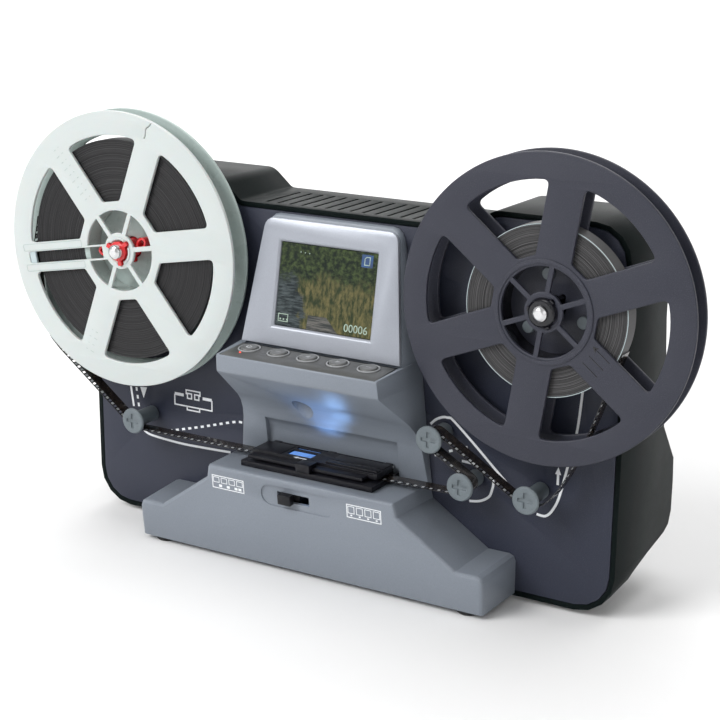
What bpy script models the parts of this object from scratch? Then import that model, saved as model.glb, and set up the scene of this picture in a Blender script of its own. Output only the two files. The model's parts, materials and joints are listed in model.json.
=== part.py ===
"""An 8 mm film scanner with a supply reel and a take-up reel, as separate, named sub-parts.

Metres, +Z up, +X to the viewer's right, front towards -Y. Every sub-part is built about a front
panel whose face is the plane y = 0, and the whole is then moved so that its depth is centred on y = 0.
"""

import math

import bmesh
import bpy
from mathutils import Matrix, Vector

# ---------------------------------------------------------------- driving dimensions
GAP = 0.0003

REEL_R = 0.0635
REEL_X = 0.1063
REEL_Z = 0.1330
FLANGE_T = 0.0017
WINDOW_OUTER_R = 0.0527
WINDOW_INNER_R = 0.0232
WINDOW_CORNER_R = 0.0032
HUB_OPEN_R = 0.0186
HUB_R = 0.0219
BOSS_R = 0.0080
BOSS_BORE_R = 0.0050
SUPPLY_PACK_R = 0.0505
TAKEUP_PACK_R = 0.0352
SUPPLY_SPOKE_W = 0.0140
TAKEUP_SPOKE_W = 0.0155
SUPPLY_SPOKE_DEG = 10.0
TAKEUP_SPOKE_DEG = 21.4

FILM_W = 0.0079
FILM_T = 0.0002
FILM_Y = -0.0110
FILM_GATE_Z = 0.0482
FILM_SIDE_GAP = 0.00035
REEL_FRONT = FILM_Y - FILM_W / 2 - FILM_SIDE_GAP - FLANGE_T
REEL_BACK = FILM_Y + FILM_W / 2 + FILM_SIDE_GAP + FLANGE_T - 0.0002

BODY_HALF_W = 0.1357
BODY_BOTTOM = 0.0022
SHOULDER_TOP = 0.1679
TROUGH_TOP = 0.1593
TROUGH_LEFT = (-0.0600, -0.0500)
TROUGH_RIGHT = (0.0640, 0.0750)
BODY_LOWER_R = 0.0175
BODY_UPPER_R = 0.0160
BODY_DEPTH = 0.0615
BODY_TOP_DEPTH = 0.0415
WALL = 0.0022
PANEL_T = 0.0030
VENT_COUNT = 16
VENT_PITCH = 0.0062
VENT_W = 0.0014

BASE_HALF_W = 0.0890
BASE_DEPTH = 0.0272
BASE_LEAN = 0.115
BASE_BOTTOM = 0.0023
BASE_STEP_TOP = 0.0200
BASE_STEP_X = 0.0761
BASE_SLOPE_TOP = (0.0490, 0.0392)
BASE_TOP = 0.0456
BASE_TOP_X = 0.0476
BASE_FLARE = 1.018

FOOT_R = 0.0050
FRONT_FOOT = (0.0795, -0.0212)
REAR_FOOT = (0.0450, 0.0195)

BEZEL_FOOT = (-0.0150, 0.0996)
BEZEL_HEAD = (-0.0052, 0.1548)
BEZEL_HALF_W = (0.0404, 0.0332)
BEZEL_T = 0.0020
SCREEN_HALF_W = 0.0241
SCREEN_SPAN = (0.00985, 0.0460)

STRIP_DEPTH = 0.01925
STRIP_TILT = math.radians(4.17)
BUTTON_R = 0.0039
BUTTON_PITCH = 0.0152
BUTTON_X = -0.0012
BUTTON_IN = 0.0064

GATE_HALF_W = 0.0339
GATE_FRONT = -0.0256
GATE_BACK = -0.0021
GATE_TOP = 0.0483
LID_HALF_W = 0.0324
LID_TOP = 0.0519
LID_FRONT = -0.0190
HINGE = (-0.0034, 0.0505)
LIGHT_X = (-0.0160, -0.0032)
LIGHT_Y = (-0.0160, -0.0046)

ROLLER_CAP_R = 0.0061
ROLLER_STEM_R = 0.0037
ROLLER_BORE_R = 0.0020
ROLLER_FRONT = FILM_Y - FILM_W / 2 - 0.00025 - 0.0014
ROLLERS = ((-0.1021, 0.0522), (0.0556, 0.0708), (0.0709, 0.0526), (0.1014, 0.0527))

GEAR_MODULE = 0.0010
GEAR_TEETH = 36
PINION_TEETH = 12
PINION_DIR = math.radians(-60.0)

LENS = (-0.0103, -0.0117)

STRIP_FRONT = BEZEL_FOOT[0] - STRIP_DEPTH * math.cos(STRIP_TILT)
STRIP_LEVEL = BEZEL_FOOT[1] - STRIP_DEPTH * math.sin(STRIP_TILT)
PANEL_Y = -(STRIP_FRONT + BODY_DEPTH) / 2


# ---------------------------------------------------------------- scene and materials
for old in list(bpy.data.objects):
    bpy.data.objects.remove(old, do_unlink=True)

parts = bpy.data.collections.new("film_scanner")
bpy.context.scene.collection.children.link(parts)
helpers = bpy.data.collections.new("cutters")
bpy.context.scene.collection.children.link(helpers)


def material(name, colour, roughness=0.5, metallic=0.0, alpha=1.0):
    found = bpy.data.materials.new(name)
    found.use_nodes = True
    shader = found.node_tree.nodes["Principled BSDF"]
    shader.inputs["Base Color"].default_value = (*colour, 1.0)
    shader.inputs["Roughness"].default_value = roughness
    shader.inputs["Metallic"].default_value = metallic
    shader.inputs["Alpha"].default_value = alpha
    return found


# ---------------------------------------------------------------- shape helpers
def add(name, mesh, colour, origin=(0.0, 0.0, 0.0), helper=False):
    """A new object for this mesh, with its origin moved to the point given."""
    mesh.transform(Matrix.Translation(-Vector(origin)))
    obj = bpy.data.objects.new(name, mesh)
    obj.location = origin
    (helpers if helper else parts).objects.link(obj)
    if helper:
        obj.hide_render = True
        obj.display_type = "WIRE"
    else:
        obj.data.materials.append(material(name, *colour))
    return obj


def finished(shape, name):
    bmesh.ops.recalc_face_normals(shape, faces=shape.faces)
    mesh = bpy.data.meshes.new(name)
    shape.to_mesh(mesh)
    shape.free()
    return mesh


def along(axis, u, v, t):
    """The point with in-plane coordinates u, v at distance t along the axis."""
    return {"X": (t, u, v), "Y": (u, t, v), "Z": (u, v, t)}[axis]


def prism_mesh(name, outlines, axis, low, high):
    """Straight prisms on closed outlines, from low to high along the axis."""
    shape = bmesh.new()
    for outline in outlines:
        near = [shape.verts.new(along(axis, u, v, low)) for u, v in outline]
        far = [shape.verts.new(along(axis, u, v, high)) for u, v in outline]
        shape.faces.new(near)
        shape.faces.new(far)
        for i in range(len(outline)):
            j = (i + 1) % len(outline)
            shape.faces.new((near[i], near[j], far[j], far[i]))
    return finished(shape, name)


def box_mesh(name, *boxes):
    shape = bmesh.new()
    for low, high in boxes:
        corners = bmesh.ops.create_cube(shape, size=1.0)["verts"]
        for corner in corners:
            for k in range(3):
                corner.co[k] = low[k] if corner.co[k] < 0 else high[k]
    return finished(shape, name)


def lathe_mesh(name, profile, axis, centre, steps):
    """A closed profile of (radius, distance) turned about an axis through the centre."""
    shape = bmesh.new()
    rings = []
    for radius, t in profile:
        if radius == 0:
            rings.append([shape.verts.new(along(axis, centre[0], centre[1], t))])
            continue
        ring = []
        for i in range(steps):
            a = 2 * math.pi * i / steps
            u = centre[0] + radius * math.cos(a)
            v = centre[1] + radius * math.sin(a)
            ring.append(shape.verts.new(along(axis, u, v, t)))
        rings.append(ring)
    pairs = list(zip(rings, rings[1:] + rings[:1]))
    for first, second in pairs:
        if len(first) == 1 and len(second) == 1:
            continue
        for i in range(steps):
            j = (i + 1) % steps
            if len(first) == 1:
                shape.faces.new((first[0], second[i], second[j]))
            elif len(second) == 1:
                shape.faces.new((first[i], first[j], second[0]))
            else:
                shape.faces.new((first[i], first[j], second[j], second[i]))
    return finished(shape, name)


def ring_profile(outer, inner, low, high):
    return [(inner, low), (outer, low), (outer, high), (inner, high)]


def disc_profile(radius, low, high):
    return [(0, low), (radius, low), (radius, high), (0, high)]


def rounded(points, radii, steps=4):
    """The polygon with each corner replaced by an arc of its radius."""
    found = []
    count = len(points)
    for i in range(count):
        here = Vector(points[i])
        before = (Vector(points[i - 1]) - here).normalized()
        after = (Vector(points[(i + 1) % count]) - here).normalized()
        radius = radii[i]
        if radius == 0:
            found.append(tuple(here))
            continue
        half = before.angle(after) / 2
        middle = here + (before + after).normalized() * (radius / math.sin(half))
        start = here + before * (radius / math.tan(half)) - middle
        turn = (here + after * (radius / math.tan(half)) - middle).angle_signed(start)
        for k in range(steps + 1):
            found.append(tuple(middle + rotated(start, turn * k / steps)))
    return found


def rotated(vector, angle):
    c, s = math.cos(angle), math.sin(angle)
    return Vector((vector[0] * c - vector[1] * s, vector[0] * s + vector[1] * c))


def cut(obj, cutter, operation="DIFFERENCE"):
    modifier = obj.modifiers.new(operation.lower() + str(len(obj.modifiers)), "BOOLEAN")
    modifier.operation = operation
    modifier.solver = "EXACT"
    modifier.object = cutter
    return obj


def cutter(name, mesh):
    return add(name, mesh, None, helper=True)


def round_edges(obj, width, chosen, steps=2):
    """Rounds the edges for which chosen(a, b) gives a share of the full width."""
    weights = obj.data.attributes.new("bevel_weight_edge", "FLOAT", "EDGE")
    for edge in obj.data.edges:
        a, b = (obj.data.vertices[i].co + obj.location for i in edge.vertices)
        weights.data[edge.index].value = chosen(a, b)
    bevel = obj.modifiers.new("round", "BEVEL")
    bevel.limit_method = "WEIGHT"
    bevel.width = width
    bevel.segments = steps
    return obj


# ---------------------------------------------------------------- body: panel and rear shell
def body_outline(inset):
    """The body seen from the front: two shoulders with a trough between them."""
    half = BODY_HALF_W - inset
    low, high, dip = BODY_BOTTOM + inset, SHOULDER_TOP - inset, TROUGH_TOP - inset
    corners = [
        (-half, low),
        (half, low),
        (half, high),
        (TROUGH_RIGHT[1] + inset / 2, high),
        (TROUGH_RIGHT[0] + inset / 2, dip),
        (TROUGH_LEFT[1] - inset / 2, dip),
        (TROUGH_LEFT[0] - inset / 2, high),
        (-half, high),
    ]
    lower, upper = BODY_LOWER_R - inset, BODY_UPPER_R - inset
    crest, dip_r = 0.0090 - inset, 0.0040 + inset
    return rounded(corners, [lower, lower, upper, crest, dip_r, dip_r, crest, upper])


def side_outline(inset, front):
    """The rear shell seen from its side: shallow above, with a bulge low at the back."""
    back, top = BODY_DEPTH - inset, BODY_TOP_DEPTH - inset
    return [
        (front, BODY_BOTTOM + inset),
        (PANEL_T + 0.0010, BODY_BOTTOM + inset),
        (0.0110, 0.0092 + inset),
        (0.0220, 0.0147 + inset),
        (BODY_DEPTH - 0.0255, 0.0196 + inset),
        (BODY_DEPTH - 0.0075, 0.0229 + inset),
        (BODY_DEPTH - 0.0025 - inset, 0.0252 + inset),
        (back, 0.0310 + inset),
        (back, 0.0446),
        (back - 0.0010, 0.0556),
        (top + 0.0050, 0.0736),
        (top + 0.0024, 0.1036),
        (top, 0.1226),
        (top, 0.2000),
        (front, 0.2000),
    ]


rear_shell = add(
    "rear_shell",
    prism_mesh("rear_shell", [body_outline(0)], "Y", 0.0, BODY_DEPTH + 0.001),
    ((0.022, 0.032, 0.032), 0.45),
)
profile_block = cutter(
    "shell_profile", prism_mesh("shell_profile", [side_outline(0, -0.001)], "X", -BODY_HALF_W - 0.015, BODY_HALF_W + 0.015)
)
cut(rear_shell, profile_block, "INTERSECT")
hollow = cutter("shell_hollow", prism_mesh("shell_hollow", [body_outline(WALL)], "Y", -0.005, BODY_DEPTH + 0.0085))
hollow_profile = cutter(
    "shell_hollow_profile",
    prism_mesh("shell_hollow_profile", [side_outline(WALL, -0.004)], "X", -BODY_HALF_W - 0.025, BODY_HALF_W + 0.025),
)
cut(hollow, hollow_profile, "INTERSECT")
cut(rear_shell, hollow)

vent_middle = (TROUGH_LEFT[1] + TROUGH_RIGHT[0]) / 2
vents = []
for i in range(VENT_COUNT):
    x = vent_middle + VENT_PITCH * (i - (VENT_COUNT - 1) / 2)
    vents.append(((x - VENT_W / 2, 0.0045, TROUGH_TOP - 0.006), (x + VENT_W / 2, 0.0320, TROUGH_TOP + 0.006)))
cut(rear_shell, cutter("vent_slots", box_mesh("vent_slots", *vents)))

# The sockets are let into the back of the bulge.
PORT_Z = 0.0330
DC_X, USB_X, CARD_X = 0.0700, 0.0400, 0.0050
DC_R = 0.0048
DC_MOUTH_R = 0.0032
SOCKET_DEPTH = 0.0135
CARD_SLOT_DEPTH = 0.0255
usb_low = (USB_X - 0.0048, BODY_DEPTH - SOCKET_DEPTH, PORT_Z - 0.0030)
usb_high = (USB_X + 0.0048, BODY_DEPTH - GAP, PORT_Z + 0.0030)
card_low = (CARD_X - 0.0138, BODY_DEPTH - CARD_SLOT_DEPTH, PORT_Z - 0.0022)
card_high = (CARD_X + 0.0138, BODY_DEPTH - GAP, PORT_Z + 0.0022)


def grown(low, high, by, along_y=0.01):
    return (
        (low[0] - by, low[1] - along_y, low[2] - by),
        (high[0] + by, high[1] + along_y, high[2] + by),
    )


port_slots = box_mesh("port_slots", grown(usb_low, usb_high, GAP), grown(card_low, card_high, GAP))
cut(rear_shell, cutter("port_slots", port_slots))
dc_hole = lathe_mesh("dc_hole", disc_profile(DC_R + GAP, BODY_DEPTH - 0.0115, BODY_DEPTH + 0.0085), "Y", (DC_X, PORT_Z), 24)
cut(rear_shell, cutter("dc_hole", dc_hole))

dc_profile = [
    (0, BODY_DEPTH - SOCKET_DEPTH),
    (DC_R, BODY_DEPTH - SOCKET_DEPTH),
    (DC_R, BODY_DEPTH - GAP),
    (DC_MOUTH_R, BODY_DEPTH - GAP),
    (DC_MOUTH_R, BODY_DEPTH - 0.0100),
    (0, BODY_DEPTH - 0.0100),
]
add("dc_inlet", lathe_mesh("dc_inlet", dc_profile, "Y", (DC_X, PORT_Z), 24), ((0.02, 0.02, 0.02), 0.4))
usb_port = add("usb_port", box_mesh("usb_port", (usb_low, usb_high)), ((0.6, 0.6, 0.62), 0.3, 1.0))
usb_mouth = (
    (usb_low[0] + 0.0008, usb_low[1] + 0.003, usb_low[2] + 0.0008),
    (usb_high[0] - 0.0008, usb_high[1] + 0.003, usb_high[2] - 0.0008),
)
cut(usb_port, cutter("usb_mouth", box_mesh("usb_mouth", usb_mouth)))
card_slot = add("card_slot", box_mesh("card_slot", (card_low, card_high)), ((0.03, 0.03, 0.03), 0.45))
card_mouth = (
    (card_low[0] + 0.0016, card_low[1] + 0.003, card_low[2] + 0.0009),
    (card_high[0] - 0.0016, card_high[1] + 0.003, card_high[2] - 0.0009),
)
cut(card_slot, cutter("card_mouth", box_mesh("card_mouth", card_mouth)))

front_panel = add(
    "front_panel",
    prism_mesh("front_panel", [body_outline(WALL + GAP)], "Y", 0.0, PANEL_T),
    ((0.055, 0.055, 0.072), 0.55),
)
BEARING_R = 0.0060
panel_holes = []
for x in (-REEL_X, REEL_X):
    hole = lathe_mesh("spindle_hole", disc_profile(BEARING_R + GAP, -0.01, 0.01), "Y", (x, REEL_Z), 24)
    panel_holes.append(hole)
for centre in ROLLERS:
    panel_holes.append(lathe_mesh("pin_hole", disc_profile(ROLLER_BORE_R, -0.01, 0.01), "Y", centre, 12))
for i, hole in enumerate(panel_holes):
    cut(front_panel, cutter("panel_hole_" + str(i + 1), hole))


# ---------------------------------------------------------------- base housing and feet
def base_outline(inset):
    half = BASE_HALF_W - inset
    slope_x, slope_z = BASE_SLOPE_TOP
    right = [
        (half, BASE_BOTTOM),
        (half, BASE_STEP_TOP - inset),
        (BASE_STEP_X - inset / 2, BASE_STEP_TOP - inset),
        (slope_x - inset, slope_z - inset / 2),
        (BASE_TOP_X - inset, BASE_TOP - inset),
    ]
    left = [(-x, z) for x, z in reversed(right)]
    corner = 0.0030 - inset
    return rounded(right + left, [0, corner, 0, 0, 0.0012, 0.0012, 0, 0, corner, 0], 2)


def base_front(z):
    """The front face leans out towards its top."""
    return -BASE_DEPTH - BASE_LEAN * (z - BASE_BOTTOM)


def base_block(name, inset, front_wall, back):
    """The base's outline as a solid, with a leaning front and a slight flare towards the panel."""
    outline = base_outline(inset)
    if inset:
        outline = [(x, z if z > BASE_BOTTOM + 1e-4 else z - 0.002) for x, z in outline]
    mesh = prism_mesh(name, [outline], "Y", -BASE_DEPTH, back)
    for vertex in mesh.vertices:
        point = vertex.co
        if point.y < -BASE_DEPTH / 2:
            point.y = base_front(point.z) + front_wall
            continue
        point.x *= BASE_FLARE
        if BASE_BOTTOM < point.z < BASE_STEP_TOP + 0.001:
            point.z += 0.0013
    return mesh


base_housing = add("base_housing", base_block("base_housing", 0, 0, -GAP), ((0.24, 0.26, 0.30), 0.42))


def base_front_edge(a, b):
    both_front = max(a.y, b.y) < -BASE_DEPTH / 2
    return 1.0 if both_front and max(a.z, b.z) > BASE_BOTTOM + 1e-4 else 0.0


round_edges(base_housing, 0.0020, base_front_edge)
cut(base_housing, cutter("base_hollow", base_block("base_hollow", WALL, 0.0024, -0.0025)))
light_shaft = box_mesh(
    "light_shaft", ((LIGHT_X[0] - 0.001, LIGHT_Y[0] - 0.001, 0.040), (LIGHT_X[1] + 0.001, LIGHT_Y[1], 0.048))
)
cut(base_housing, cutter("light_shaft", light_shaft))

# A shallow stadium round the slot of the format slider, both square to the leaning front face.
SLIDER_Z = 0.0372
slider_frame = Matrix.Translation((0, base_front(SLIDER_Z), SLIDER_Z)) @ Matrix.Rotation(math.atan(BASE_LEAN), 4, "X")


def framed(mesh, frame):
    mesh.transform(frame)
    return mesh


def add_tilted(name, mesh, colour, frame, centre):
    """An object built in a tilted frame, with its origin at a point of that frame."""
    mesh.transform(Matrix.Translation(-Vector(centre)))
    obj = bpy.data.objects.new(name, mesh)
    obj.matrix_world = frame @ Matrix.Translation(centre)
    parts.objects.link(obj)
    obj.data.materials.append(material(name, *colour))
    return obj


STADIUM = (-0.0196, 0.0186, 0.0050)
left_x, right_x = STADIUM[0] + STADIUM[2], STADIUM[1] - STADIUM[2]
stadium_outline = []
for middle_x, start in ((left_x, math.pi / 2), (right_x, -math.pi / 2)):
    for i in range(9):
        a = start + math.pi * i / 8
        stadium_outline.append((middle_x + STADIUM[2] * math.cos(a), STADIUM[2] * math.sin(a)))
stadium = prism_mesh("stadium", [stadium_outline], "Y", -0.004, 0.0007)
cut(base_housing, cutter("stadium", framed(stadium, slider_frame)))
slot = box_mesh("slider_slot", ((-0.0112, -0.004, -0.0022), (0.0052, 0.006, 0.0022)))
cut(base_housing, cutter("slider_slot", framed(slot, slider_frame)))

knob = (
    ((-0.0092, -0.0026, -0.0023), (-0.0026, 0.0004, 0.0023)),
    ((-0.0082, 0.0000, -0.0017), (-0.0036, 0.0034, 0.0017)),
    ((-0.0106, 0.0030, -0.0036), (-0.0012, 0.0042, 0.0036)),
)
format_slider = add_tilted(
    "format_slider",
    box_mesh("format_slider", knob[0]),
    ((0.012, 0.012, 0.013), 0.45),
    slider_frame,
    (-0.0059, -0.0026, 0),
)
neck = cutter("slider_neck", framed(box_mesh("slider_neck", knob[1]), slider_frame))
cut(format_slider, neck, "UNION")
flange = cutter("slider_flange", framed(box_mesh("slider_flange", knob[2]), slider_frame))
cut(format_slider, flange, "UNION")

floor_half = BASE_HALF_W - WALL - GAP
base_floor = add(
    "base_floor",
    box_mesh(
        "base_floor",
        ((-floor_half, -BASE_DEPTH + 0.0026 + GAP, BASE_BOTTOM + 0.0002), (floor_half, -0.0028, BASE_BOTTOM + 0.002)),
    ),
    ((0.03, 0.03, 0.033), 0.5),
)

for side, sign in (("left", -1), ("right", 1)):
    x, y = FRONT_FOOT
    profile = [(0, 0), (FOOT_R - 0.0006, 0), (FOOT_R, 0.0006), (FOOT_R, BASE_BOTTOM - 0.0001), (0, BASE_BOTTOM - 0.0001)]
    mesh = lathe_mesh("front_foot", profile, "Z", (sign * x, y), 16)
    add("front_foot_" + side, mesh, ((0.015, 0.015, 0.015), 0.8))
    x, y = REAR_FOOT[0], BODY_DEPTH - REAR_FOOT[1]
    top = 0.0196 + (y - FOOT_R - BODY_DEPTH + 0.0250) / 0.018 * 0.0033 - GAP
    profile = [(0, 0), (FOOT_R - 0.0006, 0), (FOOT_R, 0.0006), (FOOT_R, top), (0, top)]
    mesh = lathe_mesh("rear_foot", profile, "Z", (sign * x, y), 16)
    add("rear_foot_" + side, mesh, ((0.015, 0.015, 0.015), 0.8))

# ---------------------------------------------------------------- monitor housing
def loft_mesh(name, rings):
    """A solid through level rings, each (front y, front z, front half width, back y, back z, back half width)."""
    shape = bmesh.new()
    made = []
    for fy, fz, fw, by, bz, bw in rings:
        points = ((-bw, by, bz), (-fw, fy, fz), (fw, fy, fz), (bw, by, bz))
        made.append([shape.verts.new(point) for point in points])
    shape.faces.new(made[0])
    shape.faces.new(made[-1])
    for first, second in zip(made, made[1:]):
        for i in range(4):
            j = (i + 1) % 4
            shape.faces.new((first[i], first[j], second[j], second[i]))
    return finished(shape, name)


lean = math.atan2(BEZEL_HEAD[0] - BEZEL_FOOT[0], BEZEL_HEAD[1] - BEZEL_FOOT[1])
BEZEL_HEIGHT = math.hypot(BEZEL_HEAD[0] - BEZEL_FOOT[0], BEZEL_HEAD[1] - BEZEL_FOOT[1])
behind = BEZEL_T + GAP
UNDER = (-0.0332, 0.0903)
KNEE = (-0.0062, 0.0690)
COLUMN_FOOT = (-0.0029, BASE_TOP + GAP)

monitor_housing = add(
    "monitor_housing",
    loft_mesh(
        "monitor_housing",
        (
            (BEZEL_HEAD[0] + behind, BEZEL_HEAD[1] + 0.0008, 0.0331, -GAP, 0.1562, 0.0334),
            (BEZEL_FOOT[0] + behind, BEZEL_FOOT[1] - 0.0005, 0.0406, -GAP, 0.1004, 0.0429),
            (STRIP_FRONT, STRIP_LEVEL, 0.0404, -GAP, 0.0980, 0.0432),
            (UNDER[0], UNDER[1], 0.0409, -GAP, 0.0900, 0.0440),
            (KNEE[0], KNEE[1], 0.0455, -GAP, 0.0690, 0.0463),
            (COLUMN_FOOT[0], COLUMN_FOOT[1], 0.0487, -GAP, COLUMN_FOOT[1], 0.0492),
        ),
    ),
    ((0.24, 0.26, 0.30), 0.42),
)


def housing_edge(a, b):
    """Rounding of the housing's edges: most at the knee and the upper corners."""
    middle = (a + b) / 2
    across = abs(a.x + b.x) < 1e-5
    if across and abs(middle.y - KNEE[0]) < 1e-4 and abs(middle.z - KNEE[1]) < 1e-4:
        return 1.0
    if not across and middle.z > 0.1550 and a.x * b.x > 0:
        return 0.6
    if across and middle.y < -0.03:
        return 0.12
    return 0.0


round_edges(monitor_housing, 0.0080, housing_edge, 3)
housing_hollow = loft_mesh(
    "housing_hollow",
    (
        (-0.0022, 0.1525, 0.0300, 0.002, 0.1525, 0.0300),
        (-0.0104, 0.0985, 0.0380, 0.002, 0.0985, 0.0385),
        (-0.0318, 0.0955, 0.0380, 0.002, 0.0955, 0.0390),
        (-0.0312, 0.0926, 0.0382, 0.002, 0.0926, 0.0390),
        (-0.0080, 0.0742, 0.0400, 0.002, 0.0742, 0.0410),
    ),
)
cut(monitor_housing, cutter("housing_hollow", housing_hollow))

alcove_outline = [
    (-0.0150, 0.0430),
    (-0.0015, 0.0430),
    (-0.0015, 0.0560),
    (-0.0022, 0.0594),
    (-0.0038, 0.0620),
    (-0.0062, 0.0634),
    (-0.0150, 0.0640),
]
alcove = prism_mesh("alcove", [alcove_outline], "X", -0.0344, 0.0344)
cut(monitor_housing, cutter("alcove", alcove))
lens_hole = lathe_mesh("lens_hole", disc_profile(0.0048, 0.060, 0.084), "Z", LENS, 20)
cut(monitor_housing, cutter("lens_hole", lens_hole))

# Frames of reference of the leaning bezel and of the button strip.
bezel_frame = Matrix.Translation((0, BEZEL_FOOT[0], BEZEL_FOOT[1])) @ Matrix.Rotation(-lean, 4, "X")
strip_frame = Matrix.Translation((0, BEZEL_FOOT[0], BEZEL_FOOT[1])) @ Matrix.Rotation(STRIP_TILT, 4, "X")

LCD_HALF = 0.0270
lcd_low, lcd_high = SCREEN_SPAN[0] - 0.0030, SCREEN_SPAN[1] + 0.0030
lcd_bay = box_mesh(
    "lcd_bay",
    ((-LCD_HALF - 0.0004, BEZEL_T - 0.001, lcd_low - 0.0004), (LCD_HALF + 0.0004, 0.012, lcd_high + 0.0004)),
)
cut(monitor_housing, cutter("lcd_bay", framed(lcd_bay, bezel_frame)))
PLATE_HALF = 0.0391
plate_pocket = box_mesh(
    "plate_pocket", ((-PLATE_HALF - GAP, -0.0186, -0.0016), (PLATE_HALF + GAP, 0.0030, 0.0002))
)
cut(monitor_housing, cutter("plate_pocket", framed(plate_pocket, strip_frame)))
WELL_HALF = 2 * BUTTON_PITCH - BUTTON_X + BUTTON_R + 0.0015
button_well = box_mesh(
    "button_well",
    ((-WELL_HALF, -0.0165, -0.0080), (WELL_HALF, -BUTTON_IN + BUTTON_R + 0.0007, 0.0050)),
)
cut(monitor_housing, cutter("button_well", framed(button_well, strip_frame)))

bezel_outline = rounded(
    [
        (-BEZEL_HALF_W[0], 2 * GAP),
        (BEZEL_HALF_W[0], 2 * GAP),
        (BEZEL_HALF_W[1], BEZEL_HEIGHT),
        (-BEZEL_HALF_W[1], BEZEL_HEIGHT),
    ],
    [0, 0, 0.0046, 0.0046],
)
screen_bezel = add_tilted(
    "screen_bezel",
    prism_mesh("screen_bezel", [bezel_outline], "Y", 0.0, BEZEL_T),
    ((0.42, 0.44, 0.49), 0.38),
    bezel_frame,
    (0, 0, 0),
)


def frustum_mesh(name, front, back, low, high):
    """A four-sided taper between two rectangles, each (half width, bottom, top)."""
    shape = bmesh.new()
    made = []
    for (half, bottom, top), y in ((front, low), (back, high)):
        points = ((-half, y, bottom), (half, y, bottom), (half, y, top), (-half, y, top))
        made.append([shape.verts.new(point) for point in points])
    for ring in made:
        shape.faces.new(ring)
    for i in range(4):
        j = (i + 1) % 4
        shape.faces.new((made[0][i], made[0][j], made[1][j], made[1][i]))
    return finished(shape, name)


screen_low, screen_high = SCREEN_SPAN
opening = (SCREEN_HALF_W + GAP, screen_low - GAP, screen_high + GAP)
through = box_mesh("screen_through", ((-opening[0], -0.001, opening[1]), (opening[0], 0.004, opening[2])))
cut(screen_bezel, cutter("screen_through", framed(through, bezel_frame)))
flare = frustum_mesh(
    "screen_flare",
    (SCREEN_HALF_W + 0.0025, screen_low - 0.0025, screen_high + 0.0025),
    (SCREEN_HALF_W - 0.0002, screen_low + 0.0002, screen_high - 0.0002),
    -0.0010,
    0.0014,
)
cut(screen_bezel, cutter("screen_flare", framed(flare, bezel_frame)))
add_tilted(
    "screen_window",
    box_mesh("screen_window", ((-SCREEN_HALF_W, 0.0010, screen_low), (SCREEN_HALF_W, 0.0020, screen_high))),
    ((0.10, 0.11, 0.12), 0.08, 0.0, 0.35),
    bezel_frame,
    (0, 0.0010, (screen_low + screen_high) / 2),
)
add_tilted(
    "lcd_module",
    box_mesh("lcd_module", ((-LCD_HALF, BEZEL_T + 0.0004, lcd_low), (LCD_HALF, 0.0056, lcd_high))),
    ((0.05, 0.05, 0.06), 0.4),
    bezel_frame,
    (0, BEZEL_T + 0.0004, (screen_low + screen_high) / 2),
)

# ---------------------------------------------------------------- button strip
button_xs = [BUTTON_X + BUTTON_PITCH * (i - 2) for i in range(5)]
button_plate = add_tilted(
    "button_plate",
    box_mesh("button_plate", ((-PLATE_HALF, -0.0183, -0.0013), (PLATE_HALF, -0.0008, -0.0001))),
    ((0.15, 0.15, 0.15), 0.42),
    strip_frame,
    (0, 0, 0),
)
wells = bmesh.new()
for x in button_xs:
    well = lathe_mesh("well", disc_profile(BUTTON_R + GAP, -0.004, 0.004), "Z", (x, -BUTTON_IN), 20)
    wells.from_mesh(well)
wells_mesh = bpy.data.meshes.new("button_wells")
wells.to_mesh(wells_mesh)
wells.free()
cut(button_plate, cutter("button_wells", framed(wells_mesh, strip_frame)))
for name, x in zip(("power", "menu", "left", "right", "enter"), button_xs):
    profile = [
        (0, -0.0038),
        (0.0018, -0.0038),
        (0.0018, -0.0019),
        (BUTTON_R, -0.0019),
        (BUTTON_R, 0.0003),
        (BUTTON_R - 0.0005, 0.0008),
        (0, 0.0008),
    ]
    add_tilted(
        "button_" + name,
        lathe_mesh("button_" + name, profile, "Z", (x, -BUTTON_IN), 20),
        ((0.17, 0.17, 0.17), 0.4),
        strip_frame,
        (x, -BUTTON_IN, 0),
    )
add_tilted(
    "control_board",
    box_mesh("control_board", ((-0.0360, -0.0158, -0.0064), (0.0360, -0.0034, -0.0050))),
    ((0.02, 0.12, 0.05), 0.5),
    strip_frame,
    (0, -BUTTON_IN, -0.0050),
)

# ---------------------------------------------------------------- camera and film gate
lens_x, lens_y = LENS
camera_module = add(
    "camera_module",
    lathe_mesh(
        "camera_module",
        [(0, 0.0830), (0.0022, 0.0830), (0.0036, 0.0822), (0.0036, 0.0860), (0.0044, 0.0860), (0.0044, 0.0912), (0, 0.0912)],
        "Z",
        LENS,
        20,
    ),
    ((0.02, 0.02, 0.022), 0.35),
)
sensor_board = ((lens_x - 0.0080, lens_y - 0.0010, 0.0908), (lens_x + 0.0080, lens_y + 0.0088, 0.0920))
cut(camera_module, cutter("sensor_board", box_mesh("sensor_board", sensor_board)), "UNION")

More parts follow.
